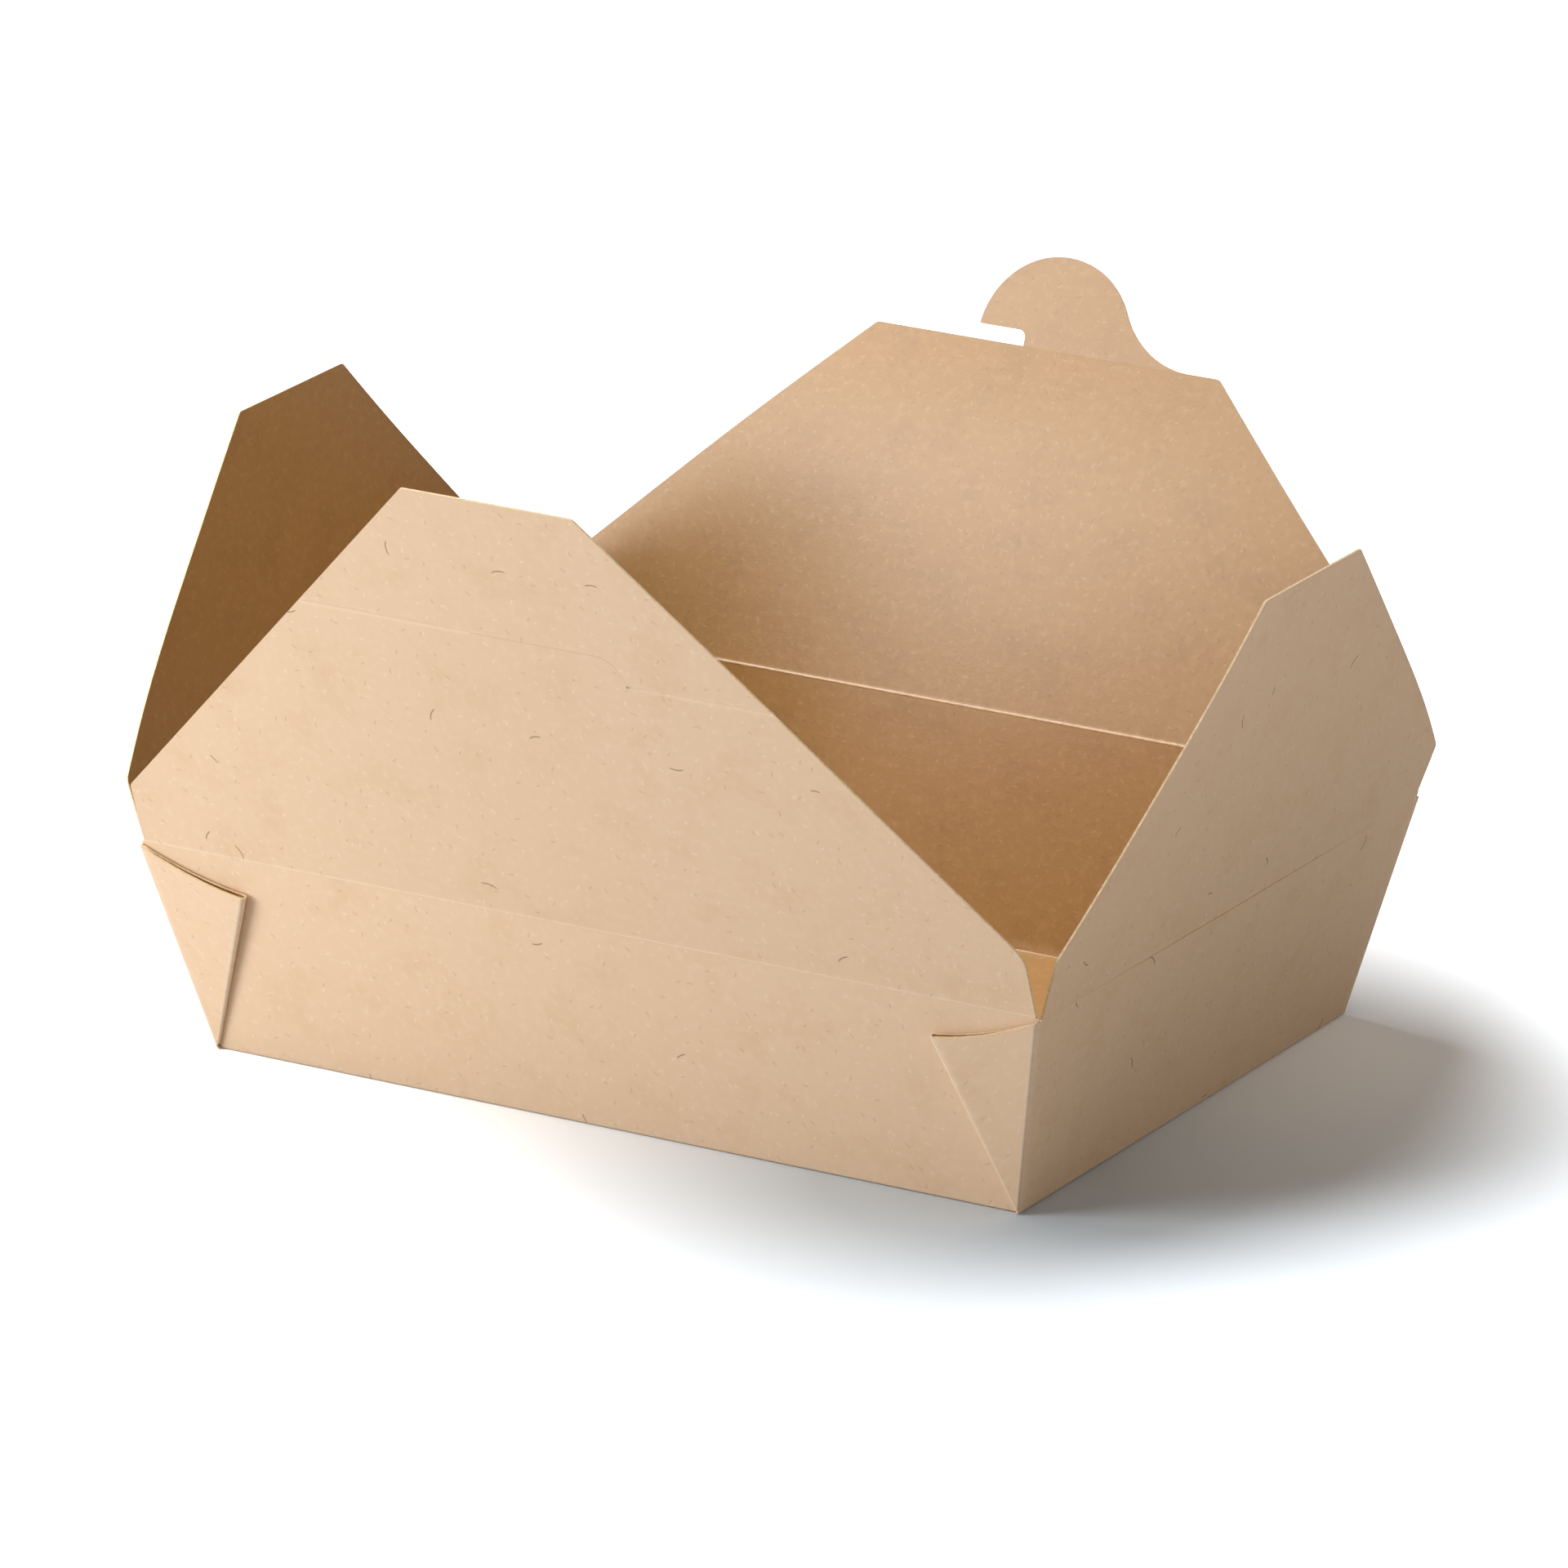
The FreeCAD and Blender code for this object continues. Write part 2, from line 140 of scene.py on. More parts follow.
SIZES = BoxSizes()


def meet(first: tuple, second: tuple, height: float) -> np.ndarray:
    """The point where two planes meet at a height.

    Args:
        first: a plane's normal and its distance from the origin.
        second: the other plane's.
        height: the level.

    Returns:
        The point.
    """
    normals = np.array([first[0], second[0], UP])
    return np.linalg.solve(normals, np.array([first[1], second[1], height]))


def unit(vectors: np.ndarray) -> np.ndarray:
    """The vectors at length one."""
    return vectors / np.maximum(np.linalg.norm(vectors, axis=-1, keepdims=True), 1e-12)


def stations(*spans: tuple) -> np.ndarray:
    """Rising stations along a line: each span is its start, its end and its number of steps."""
    parts = [np.linspace(start, end, steps + 1) for start, end, steps in spans]
    joined = np.concatenate(parts)
    return joined[np.concatenate([[True], np.diff(joined) > SAME_STATION])]


def as_row(point: np.ndarray) -> np.ndarray:
    """A point of a section, level distance and height, as the one row of a table of points."""
    return np.array([[point[0], 0.0, point[1]]])


@dataclass(frozen=True)
class Shell:
    """A sheet of board as a closed shell.

    Attributes:
        points: its points.
        quads: the four point numbers of each quad.
        slots: the material slot of each quad.
        flat: each point's place on the flat blank.
        fold: how much each point belongs to a crease.
        sharp: the point pairs of the sharp edges.
    """

    points: np.ndarray
    quads: np.ndarray
    slots: np.ndarray
    flat: np.ndarray
    fold: np.ndarray
    sharp: np.ndarray


@dataclass
class Sheet:
    """A sheet of board on a grid: rows run up the sheet, columns to the right from outside.

    Attributes:
        middle: the points of the mid-surface, rows by columns.
        half: half the thickness at each point.
        flat: each point's place on the flat blank.
        keep: which cells of the grid are board; the others are cut away.
        fold: how much each point belongs to a crease, from 0 to 1.
        outside: how much of that shows on the outer face.
        way: the way that the outer face is from the middle, where that isn't the normal.
    """

    middle: np.ndarray
    half: np.ndarray
    flat: np.ndarray
    keep: np.ndarray
    fold: np.ndarray
    outside: float = 1.0
    way: np.ndarray | None = None

    def normals(self) -> np.ndarray:
        """The outward normals: column direction crossed with row direction, unless set."""
        if self.way is not None:
            return self.way
        across = np.gradient(self.middle, axis=1)
        upward = np.gradient(self.middle, axis=0)
        return unit(np.cross(across, upward))

    def cells(self) -> np.ndarray:
        """The four corner numbers of each kept cell, counterclockwise from outside."""
        rows, columns = np.nonzero(self.keep)
        width = self.middle.shape[1]
        first = rows * width + columns
        return np.stack([first, first + 1, first + 1 + width, first + width], axis=1)

    def rims(self) -> np.ndarray:
        """The directed cut edges: a kept cell's sides that no kept cell shares."""
        padded = np.pad(self.keep, 1)
        rows, columns = np.nonzero(self.keep)
        cells = self.cells()
        missing = [
            ~padded[rows, columns + 1],
            ~padded[rows + 1, columns + 2],
            ~padded[rows + 2, columns + 1],
            ~padded[rows + 1, columns],
        ]
        sides = [cells[free][:, [k, (k + 1) % 4]] for k, free in enumerate(missing)]
        return np.concatenate(sides)

    def shell(self) -> Shell:
        """The sheet with its thickness.

        The outer face is the mid-surface moved out by half the thickness, the inner face is
        moved in by as much, and a strip closes each cut edge.

        Returns:
            The shell.
        """
        shift = self.normals() * self.half[..., None]
        outer = (self.middle + shift).reshape(-1, 3)
        inner = (self.middle - shift).reshape(-1, 3)
        count = len(outer)
        cells = self.cells()
        rims = self.rims()
        strips = np.stack([rims[:, 1], rims[:, 0], rims[:, 0] + count, rims[:, 1] + count], axis=1)
        quads = np.concatenate([cells, cells[:, ::-1] + count, strips])
        slots = np.repeat([Face.OUTER.value, Face.INNER.value, Face.EDGE.value],
                          [len(cells), len(cells), len(strips)])
        flat = np.tile(self.flat.reshape(-1, 2), (2, 1))
        fold = np.concatenate([self.fold.reshape(-1) * self.outside, self.fold.reshape(-1)])
        sharp = np.concatenate([rims, rims + count])
        used, numbers = np.unique(quads, return_inverse=True)
        place = np.full(2 * count, -1)
        place[used] = np.arange(len(used))
        return Shell(np.concatenate([outer, inner])[used], numbers.reshape(quads.shape), slots,
                     flat[used], fold[used], place[sharp])


def board_piece(name: str, sheets: list, finishes: list) -> bpy.types.Object:
    """Make one object from sheets of board.

    Args:
        name: the object's name.
        sheets: the sheets, in millimetres.
        finishes: the materials of the outer face, the inner face and the cut edge.

    Returns:
        The object, at the origin, in metres.
    """
    shells = [sheet.shell() for sheet in sheets]
    starts = np.cumsum([0] + [len(shell.points) for shell in shells])
    points = np.concatenate([shell.points for shell in shells])
    quads = np.concatenate([shell.quads + start for shell, start in zip(shells, starts)])
    sharp = np.concatenate([shell.sharp + start for shell, start in zip(shells, starts)])
    sharp = np.sort(sharp, axis=1)
    flat = np.concatenate([shell.flat for shell in shells])
    slots = np.concatenate([shell.slots for shell in shells]).astype(np.int32)
    folds = np.concatenate([shell.fold for shell in shells]).astype(np.float32)
    mesh = bpy.data.meshes.new(name)
    mesh.from_pydata((points * MM).tolist(), [], quads.tolist())
    mesh.polygons.foreach_set("material_index", slots)
    mesh.polygons.foreach_set("use_smooth", np.ones(len(quads), bool))
    mesh.update(calc_edges=True)
    corners = np.zeros(len(mesh.loops), np.int32)
    mesh.loops.foreach_get("vertex_index", corners)
    layer = mesh.uv_layers.new(name="blank")
    layer.data.foreach_set("uv", (flat[corners] * MM).astype(np.float32).ravel())
    mesh.attributes.new("fold", "FLOAT", "POINT").data.foreach_set("value", folds)
    edges = np.zeros(2 * len(mesh.edges), np.int32)
    mesh.edges.foreach_get("vertices", edges)
    edges = np.sort(edges.reshape(-1, 2), axis=1).astype(np.int64)
    keys = edges[:, 0] * len(points) + edges[:, 1]
    is_sharp = np.isin(keys, sharp[:, 0].astype(np.int64) * len(points) + sharp[:, 1])
    mesh.attributes.new("sharp_edge", "BOOLEAN", "EDGE").data.foreach_set("value", is_sharp)
    for material in finishes:
        mesh.materials.append(material)
    piece = bpy.data.objects.new(name, mesh)
    bpy.context.scene.collection.objects.link(piece)
    return piece


def linear(code: str) -> tuple:
    """A colour's sRGB hex code as linear red, green, blue and alpha."""
    channels = np.array([int(code[i:i + 2], 16) for i in (1, 3, 5)]) / 255
    values = np.where(channels <= 0.04045, channels / 12.92, ((channels + 0.055) / 1.055) ** 2.4)
    return (*values.tolist(), 1.0)


def add(tree: bpy.types.NodeTree, kind: str, inputs: dict, **settings: object) -> bpy.types.Node:
    """Add a node with its settings and links.

    Args:
        tree: the node tree.
        kind: the node's type name.
        inputs: for each input, by name or number, a value or the output that feeds it.
        settings: the node's own properties.

    Returns:
        The node.
    """
    node = tree.nodes.new(kind)
    for key, value in settings.items():
        setattr(node, key, value)
    for key, value in inputs.items():
        if isinstance(value, bpy.types.NodeSocket):
            tree.links.new(value, node.inputs[key])
        else:
            node.inputs[key].default_value = value
    return node


@dataclass(frozen=True)
class FibreLayer:
    """Loose fibres in the board's surface, one to each cell of a jittered grid.

    Attributes:
        cell: cell size in mm.
        length: fibre length in mm.
        width: fibre width in mm.
        bend: how much a fibre curves, in mm over its half length.
        share: how many of the cells hold a fibre.
        colour: the fibres' colour.
        strength: how strongly the fibres colour the board.
    """

    cell: float
    length: float
    width: float
    bend: float
    share: float
    colour: str
    strength: float

    def mask(self, tree: bpy.types.NodeTree, place: bpy.types.NodeSocket) -> bpy.types.NodeSocket:
        """Where the fibres are.

        Each cell's fibre is turned by a random angle and has a random length, from half the full
        one. It is where the distance across it, and a bend that grows with the square of the
        distance along it, come to under half its width. Only a share of the cells hold one.

        Args:
            tree: the material's node tree.
            place: the place on the blank, in millimetres.

        Returns:
            The mask's output, from 0 to 1.
        """
        cells = add(tree, "ShaderNodeTexVoronoi",
                    {"Vector": place, "Scale": 1 / self.cell, "Randomness": 1.0},
                    voronoi_dimensions="2D", feature="F1")
        local = add(tree, "ShaderNodeVectorMath", {0: place, 1: cells.outputs["Position"]},
                    operation="SUBTRACT")
        random = add(tree, "ShaderNodeSeparateColor", {0: cells.outputs["Color"]})
        angle = add(tree, "ShaderNodeMath", {0: random.outputs[0], 1: 2 * math.pi},
                    operation="MULTIPLY")
        turned = add(tree, "ShaderNodeVectorRotate",
                     {"Vector": local.outputs[0], "Angle": angle.outputs[0]},
                     rotation_type="Z_AXIS")
        parts = add(tree, "ShaderNodeSeparateXYZ", {0: turned.outputs[0]})
        square = add(tree, "ShaderNodeMath", {0: parts.outputs[0], 1: parts.outputs[0]},
                     operation="MULTIPLY")
        curved = add(tree, "ShaderNodeMath",
                     {0: square.outputs[0], 1: 4 * self.bend / self.length ** 2,
                      2: parts.outputs[1]}, operation="MULTIPLY_ADD")
        across = add(tree, "ShaderNodeMath", {0: curved.outputs[0]}, operation="ABSOLUTE")
        thin = add(tree, "ShaderNodeMapRange", {
            "Value": across.outputs[0], 1: self.width * 0.25, 2: self.width * 0.75, 3: 1.0, 4: 0.0})
        along = add(tree, "ShaderNodeMath", {0: parts.outputs[0]}, operation="ABSOLUTE")
        reach = add(tree, "ShaderNodeMath",
                    {0: random.outputs[2], 1: self.length / 4, 2: self.length / 4},
                    operation="MULTIPLY_ADD")
        beyond = add(tree, "ShaderNodeMath", {0: along.outputs[0], 1: reach.outputs[0]},
                     operation="DIVIDE")
        ends = add(tree, "ShaderNodeMapRange", {
            "Value": beyond.outputs[0], 1: 0.7, 2: 1.0, 3: 1.0, 4: 0.0})
        chosen = add(tree, "ShaderNodeMath", {0: random.outputs[1], 1: self.share},
                     operation="LESS_THAN")
        body = add(tree, "ShaderNodeMath", {0: thin.outputs[0], 1: ends.outputs[0]},
                   operation="MULTIPLY")
        shown = add(tree, "ShaderNodeMath", {0: body.outputs[0], 1: chosen.outputs[0]},
                    operation="MULTIPLY")
        final = add(tree, "ShaderNodeMath", {0: shown.outputs[0], 1: self.strength},
                    operation="MULTIPLY")
        return final.outputs[0]


@dataclass(frozen=True)
class KraftFace:
    """A face of kraft board: pressed wood fibre, cloudy, with loose fibres in its surface.

    Attributes:
        name: the material's name.
        colour: the board's main colour.
        shade: the colour of its darker clouds.
        tint: the colour of its lighter clouds.
        worn_and_highlit: the colour of a crease: lighter where its fibres are broken open, and a
            painted highlight for the light that its ridge catches.
        wear_and_highlight: how strongly that crease colour shows.
        roughness: the least roughness; the grain adds to it.
        specular: the specular level.
        grain: height of the grain in mm.
        fibres: the layers of loose fibres.
        cloud_size: size of the wide clouds in mm.
        mottle_size: size of the fine clouds in mm.
        grain_size: size of the grain in mm, coarser than real fibres so that it shows at all.
    """

    name: str
    colour: str
    shade: str
    tint: str
    worn_and_highlit: str
    wear_and_highlight: float
    roughness: float
    specular: float
    grain: float
    fibres: tuple
    cloud_size: float = 14.0
    mottle_size: float = 2.2
    grain_size: float = 0.5

    def material(self) -> bpy.types.Material:
        """Build the material on the blank's own flat coordinates, in millimetres.

        The wide clouds shade the colour, the fine ones tint it, and the fibres lie on both. A
        crease takes a lighter colour in patches: wear where its fibres break open, and a painted
        highlight for the light that its ridge catches. The roughness and the bump follow the grain.

        Returns:
            The material.
        """
        material = bpy.data.materials.new(self.name)
        material.use_nodes = True
        tree = material.node_tree
        tree.nodes.clear()
        blank = add(tree, "ShaderNodeUVMap", {}, uv_map="blank")
        scaled = add(tree, "ShaderNodeVectorMath", {0: blank.outputs[0], "Scale": 1 / MM},
                     operation="SCALE")
        place = scaled.outputs[0]
        clouds = add(tree, "ShaderNodeTexNoise", {
            "Vector": place, "Scale": 1 / self.cloud_size, "Detail": 3.0, "Roughness": 0.6})
        mottle = add(tree, "ShaderNodeTexNoise", {
            "Vector": place, "Scale": 1 / self.mottle_size, "Detail": 2.0, "Roughness": 0.55})
        grain = add(tree, "ShaderNodeTexNoise", {
            "Vector": place, "Scale": 1 / self.grain_size, "Detail": 2.0, "Roughness": 0.6})
        darker = add(tree, "ShaderNodeMapRange", {
            "Value": clouds.outputs[0], 1: 0.5, 2: 0.72, 3: 0.0, 4: 0.55})
        lighter = add(tree, "ShaderNodeMapRange", {
            "Value": mottle.outputs[0], 1: 0.5, 2: 0.75, 3: 0.0, 4: 0.6})
        colour = add(tree, "ShaderNodeMix", {
            0: darker.outputs[0], 6: linear(self.colour), 7: linear(self.shade)}, data_type="RGBA")
        colour = add(tree, "ShaderNodeMix", {
            0: lighter.outputs[0], 6: colour.outputs[2], 7: linear(self.tint)}, data_type="RGBA")
        for layer in self.fibres:
            colour = add(tree, "ShaderNodeMix", {
                0: layer.mask(tree, place), 6: colour.outputs[2], 7: linear(layer.colour)},
                data_type="RGBA")
        # Crease wear and painted highlight: a lighter colour on the creases, in patches
        fold = add(tree, "ShaderNodeAttribute", {}, attribute_name="fold")
        patchy_wear_and_highlight = add(tree, "ShaderNodeMapRange", {
            "Value": mottle.outputs[0], 1: 0.35, 2: 0.6, 3: self.wear_and_highlight * 0.6, 4: self.wear_and_highlight})
        worn_and_highlit = add(tree, "ShaderNodeMath", {0: fold.outputs["Fac"], 1: patchy_wear_and_highlight.outputs[0]},
                   operation="MULTIPLY")
        colour = add(tree, "ShaderNodeMix", {
            0: worn_and_highlit.outputs[0], 6: colour.outputs[2], 7: linear(self.worn_and_highlit)}, data_type="RGBA")
        rough = add(tree, "ShaderNodeMapRange", {
            "Value": grain.outputs[0], 1: 0.3, 2: 0.7, 3: self.roughness,
            4: self.roughness + 0.12})
        height = add(tree, "ShaderNodeMath", {0: mottle.outputs[0], 1: 2.0, 2: grain.outputs[0]},
                     operation="MULTIPLY_ADD")
        bump = add(tree, "ShaderNodeBump", {
            "Height": height.outputs[0], "Strength": 1.0, "Distance": self.grain * MM})
        shader = add(tree, "ShaderNodeBsdfPrincipled", {
            "Base Color": colour.outputs[2], "Roughness": rough.outputs[0],
            "Normal": bump.outputs[0], "Specular IOR Level": self.specular, "IOR": 1.5})
        add(tree, "ShaderNodeOutputMaterial", {"Surface": shader.outputs[0]})
        return material


@dataclass(frozen=True)
class CutEdge:
    """The die-cut edge of kraft board: torn pale fibre, matt, with no liner on it.

    Attributes:
        name: the material's name.
        colour: the colour of the fibre ends.
        shade: the colour between them.
        fibre: how far apart they are, in mm.
        roughness: its roughness.
        specular: its specular level.
    """

    name: str = "kraft_board_cut_edge"
    colour: str = "#F0D9B4"
    shade: str = "#DDBE93"
    fibre: float = 0.8
    roughness: float = 0.9
    specular: float = 0.2

    def material(self) -> bpy.types.Material:
        """Build the material from Object coordinates."""
        material = bpy.data.materials.new(self.name)
        material.use_nodes = True
        tree = material.node_tree
        tree.nodes.clear()
        place = add(tree, "ShaderNodeTexCoord", {})
        fibre = add(tree, "ShaderNodeTexNoise", {
            "Vector": place.outputs["Object"], "Scale": 1 / (self.fibre * MM), "Detail": 2.0})
        share = add(tree, "ShaderNodeMapRange", {"Value": fibre.outputs[0], 1: 0.35, 2: 0.65})
        colour = add(tree, "ShaderNodeMix", {
            0: share.outputs[0], 6: linear(self.shade), 7: linear(self.colour)}, data_type="RGBA")
        shader = add(tree, "ShaderNodeBsdfPrincipled", {
            "Base Color": colour.outputs[2], "Roughness": self.roughness,
            "Specular IOR Level": self.specular})
        add(tree, "ShaderNodeOutputMaterial", {"Surface": shader.outputs[0]})
        return material


def fillet(before: np.ndarray, corner: np.ndarray, after: np.ndarray, radius: np.ndarray,
           steps: int) -> np.ndarray:
    """Round the corner of each row's line.

    The arc touches both runs at radius / tan(half the corner's angle) from the corner, and its
    points turn evenly from one touching point to the other about the arc's centre. The radius
    shrinks where a run is too short for it.

    Args:
        before: the points before the corner, one to each row.
        corner: the corners.
        after: the points after it.
        radius: the radius in each row.
        steps: the number of steps along the arc.

    Returns:
        The arc's points, rows by steps + 1.
    """
    back = unit(before - corner)
    ahead = unit(after - corner)
    half = np.arccos(np.clip((back * ahead).sum(-1), -1, 1)) / 2
    room = np.minimum(np.linalg.norm(before - corner, axis=-1),
                      np.linalg.norm(after - corner, axis=-1))
    radius = np.minimum(radius, 0.5 * room * np.tan(half))
    centre = corner + unit(back + ahead) * (radius / np.sin(half))[:, None]
    start = corner + back * (radius / np.tan(half))[:, None] - centre
    end = corner + ahead * (radius / np.tan(half))[:, None] - centre
    turn = (math.pi - 2 * half)[:, None]
    share = np.linspace(0, 1, steps + 1)[None, :]
    first = (np.sin((1 - share) * turn) / np.sin(turn))[..., None]
    last = (np.sin(share * turn) / np.sin(turn))[..., None]
    return centre[:, None] + first * start[:, None] + last * end[:, None]


def run(start: np.ndarray, end: np.ndarray, steps: int) -> np.ndarray:
    """Points evenly along each row's straight run, without its two ends."""
    share = np.linspace(0, 1, steps + 1)[1:-1][None, :, None]
    return start[:, None] * (1 - share) + end[:, None] * share


def circle(radius: float, level: np.ndarray) -> np.ndarray:
    """Half the width of a circle at a level from its centre, and none beyond it."""
    return np.sqrt(np.maximum(radius ** 2 - level ** 2, 0))


def gap_lengths(points: np.ndarray, axis: int) -> np.ndarray:
    """Distance along a grid's rows or columns, from its first point."""
    steps = np.linalg.norm(np.diff(points, axis=axis), axis=-1)
    shape = list(steps.shape)
    shape[axis] = 1
    return np.concatenate([np.zeros(shape), np.cumsum(steps, axis=axis)], axis=axis)


@dataclass(frozen=True)
class Tray:
    """The folded tray: base, four walls and the corner webs on the outside of the long walls.

    Attributes:
        fold_radius: radius of the board's middle layer in a fold.
        web_length: the diagonal fold's length from the base corner.
        web_dip: how far the web's cut edge dips in its middle.
        web_foot: distances of the web's two layers from the wall at the foot.
        web_rim: the same at the rim.
        spring: how far the two layers spring out more at the top of the diagonal fold.
        blunt: how far up the diagonal fold the web's blunt foot ends, as a share.
        tuck: how far under the hinge line a wall's top ends, inside the flap's bead.
        bulge: how far the long walls stand out in their middle.
        inset: how far in from a wall's foot the line of its fold starts.
        base_wear_and_highlight: how strongly the base's creases show their wear and painted
            highlight, as a share of the others.
        end_place: where the end walls lie on the blank, to the left and right of its middle.
    """

    fold_radius: float = 0.5
    web_length: float = 44.0
    web_dip: float = 1.3
    web_foot: tuple = (0.26, 0.74)
    web_rim: tuple = (0.5, 1.12)
    spring: tuple = (0.4, 1.3)
    blunt: float = 0.03
    tuck: float = 0.12
    bulge: float = 0.25
    inset: float = 10.0
    base_wear_and_highlight: float = 0.5
    end_place: float = 300.0

    def profile(self) -> tuple:
        """The section through the back wall, the base and the front wall.

        The line runs straight down the back wall's middle layer, round a fold, along the base
        at half the board's thickness, round the other fold and up the front wall.

        Returns:
            The section's points as distance along -Y and height, and each point's share of a
            wall, from -1 at the back rim over 0 on the base to 1 at the front rim.
        """
        lines = []
        for side, way in ((Side.BACK, -1.0), (Side.FRONT, 1.0)):
            top = SIZES.crease_height(side) - self.tuck
            low = np.array([way * SIZES.wall_distance(side, HALF_BOARD), HALF_BOARD])
            high = np.array([way * SIZES.wall_distance(side, top), top])
            lines.append((low, high))
        back_low, back_high, front_low, front_high = (
            as_row(point) for pair in lines for point in pair)
        radius = np.array([self.fold_radius])
        back_fold = fillet(back_high, back_low, front_low, radius, 6)[0]
        front_fold = fillet(back_low, front_low, front_high, radius, 6)[0]
        pieces = [back_high, run(back_high, back_fold[:1], 22)[0], back_fold,
                  run(back_fold[-1:], front_fold[:1], 48)[0], front_fold,
                  run(front_fold[-1:], front_high, 22)[0], front_high]
        line = np.concatenate(pieces)[:, [0, 2]]
        share = np.clip((line[:, 1] - HALF_BOARD) / SIZES.rim_height, 0, 1) * np.sign(line[:, 0])
        return line, share

    def long_sheet(self) -> Sheet:
        """The base and both long walls as one sheet.

        Each row is a level line along X. On a wall it ends on the end wall's mid-plane at its
        height, and on the base it stops short by the fold's radius. The wall bulges out by a
        sine up its height times a cosine along its length.

        Returns:
            The sheet.
        """
        line, share = self.profile()
        columns = stations((-1.0, -0.96, 6), (-0.96, 0.96, 76), (0.96, 1.0, 6))
        ends = np.array([SIZES.wall_distance(Side.RIGHT, height) for height in line[:, 1]])
        ends = ends - self.fold_radius * np.clip(1 - np.abs(share) * 40, 0, 1)
        up_wall = np.sin(math.pi * np.abs(share))
        out = self.bulge * up_wall[:, None] * np.cos(columns * math.pi / 2)[None, :]
        middle = np.zeros((len(line), len(columns), 3))
        middle[..., 0] = ends[:, None] * columns[None, :]
        middle[..., 1] = -line[:, :1] - np.sign(share)[:, None] * out
        middle[..., 2] = line[:, 1:]
        length = gap_lengths(np.pad(line, ((0, 0), (0, 1)))[:, None, :], 0)
        upward = np.broadcast_to(length - length.mean(), middle.shape[:2])
        flat = np.stack([middle[..., 0], upward], axis=-1)
        # The base's creases take the lighter crease colour, wear and painted highlight, by how
        # sharply a row turns
        bends = np.abs(np.gradient(np.arctan2(*np.gradient(line, axis=0).T)))
        wear_and_highlight = np.clip(bends * WEAR_AND_HIGHLIGHT_PER_TURN, 0, 1) * self.base_wear_and_highlight
        fold = np.broadcast_to(wear_and_highlight[:, None], middle.shape[:2])
        return Sheet(middle, np.full(middle.shape[:2], HALF_BOARD), flat,
                     np.ones((len(line) - 1, len(columns) - 1), bool), fold)

    def web_lines(self, long_side: Side, end_side: Side, climb: np.ndarray) -> list:
        """The lines that a corner web's rows run between.

        Args:
            long_side: the long wall that the web lies on.
            end_side: the end wall that it comes from.
            climb: each row's share of the way up the corner edge.

        The diagonal fold leaves the corner edge by half the angle that the blank has left there:
        a right angle less the leans of the two walls.

        Returns:
            The inner layer's hidden edge, its diagonal fold, the outer layer's diagonal fold
            and the corner edge, each as one point to a row.
        """
        end_plane = SIZES.wall_plane(end_side)
        top = SIZES.crease_height(end_side) - self.tuck
        lean_long = math.atan2(SIZES.end_flare, math.hypot(SIZES.rim_height, SIZES.side_flare))
        lean_end = math.atan2(SIZES.side_flare, math.hypot(SIZES.rim_height, SIZES.end_flare))
        half = (math.pi / 2 - lean_long - lean_end) / 2
        rows = climb[:, None]
        layers = []
        for foot_gap, rim_gap, spring in zip(self.web_foot, self.web_rim, self.spring):
            plane = SIZES.wall_plane(long_side, foot_gap, rim_gap)
            foot = meet(plane, end_plane, HALF_BOARD)
            rise = meet(plane, end_plane, top) - foot
            edge = unit(rise)
            across = unit(np.cross(plane[0], edge))
            across = across * np.sign(across @ -end_side.facing)
            tip = (edge * math.cos(half) + across * math.sin(half)) * self.web_length
            diagonal = foot + tip * (rows + self.blunt * (1 - rows) ** 2) + plane[0] * spring * rows
            layers.append((foot + rise * rows, diagonal))
        (inner_edge, inner_fold), (outer_edge, outer_fold) = layers
        return [inner_edge, inner_fold, outer_fold, outer_edge]

    def end_sheet(self, end_side: Side) -> Sheet:
        """An end wall and the two webs that it wraps round the corners, as one sheet.

        A row starts hidden behind the first web, turns round its diagonal fold, comes back to
        the corner edge, turns onto the end wall, crosses it level, and does the same at the
        other corner. Every turn is an arc.

        Args:
            end_side: the end.

        Returns:
            The sheet.
        """
        first, last = (Side.FRONT, Side.BACK) if end_side is Side.RIGHT else (Side.BACK, Side.FRONT)
        climb = stations((0.0, 0.06, 6), (0.06, 0.9, 24), (0.9, 1.0, 8))
        near = self.web_lines(first, end_side, climb)
        far = self.web_lines(last, end_side, climb)
        line = near + far[::-1]
        corner = np.full(len(climb), self.fold_radius)
        near_ridge = np.linalg.norm(near[2] - near[1], axis=-1) / 2
        far_ridge = np.linalg.norm(far[2] - far[1], axis=-1) / 2
        turns = [(near_ridge, 4), (near_ridge, 4), (corner, 6), (corner, 6), (far_ridge, 4),
                 (far_ridge, 4)]
        arcs = [fillet(*line[k:k + 3], radius, steps) for k, (radius, steps) in enumerate(turns)]
        # Steps of the straight runs; the two arcs over a diagonal fold touch, without a run
        counts = [12, 0, 14, 60, 14, 0, 12]
        starts = [line[0], *(arc[:, -1] for arc in arcs)]
        ends = [*(arc[:, 0] for arc in arcs), line[-1]]
        blocks = [line[0][:, None]]
        for k, count in enumerate(counts):
            if k:
                blocks.append(arcs[k - 1] if counts[k - 1] else arcs[k - 1][:, 1:])
            if count:
                blocks.append(run(starts[k], ends[k], count))
            if count == max(counts):
                width = sum(block.shape[1] for block in blocks)
                wall = (width - count + 1, width)
        blocks.append(line[-1][:, None])
        middle = np.concatenate(blocks, axis=1)
        middle = middle + self.dip(middle, line, climb)
        return self.finish_end(middle, wall, end_side)

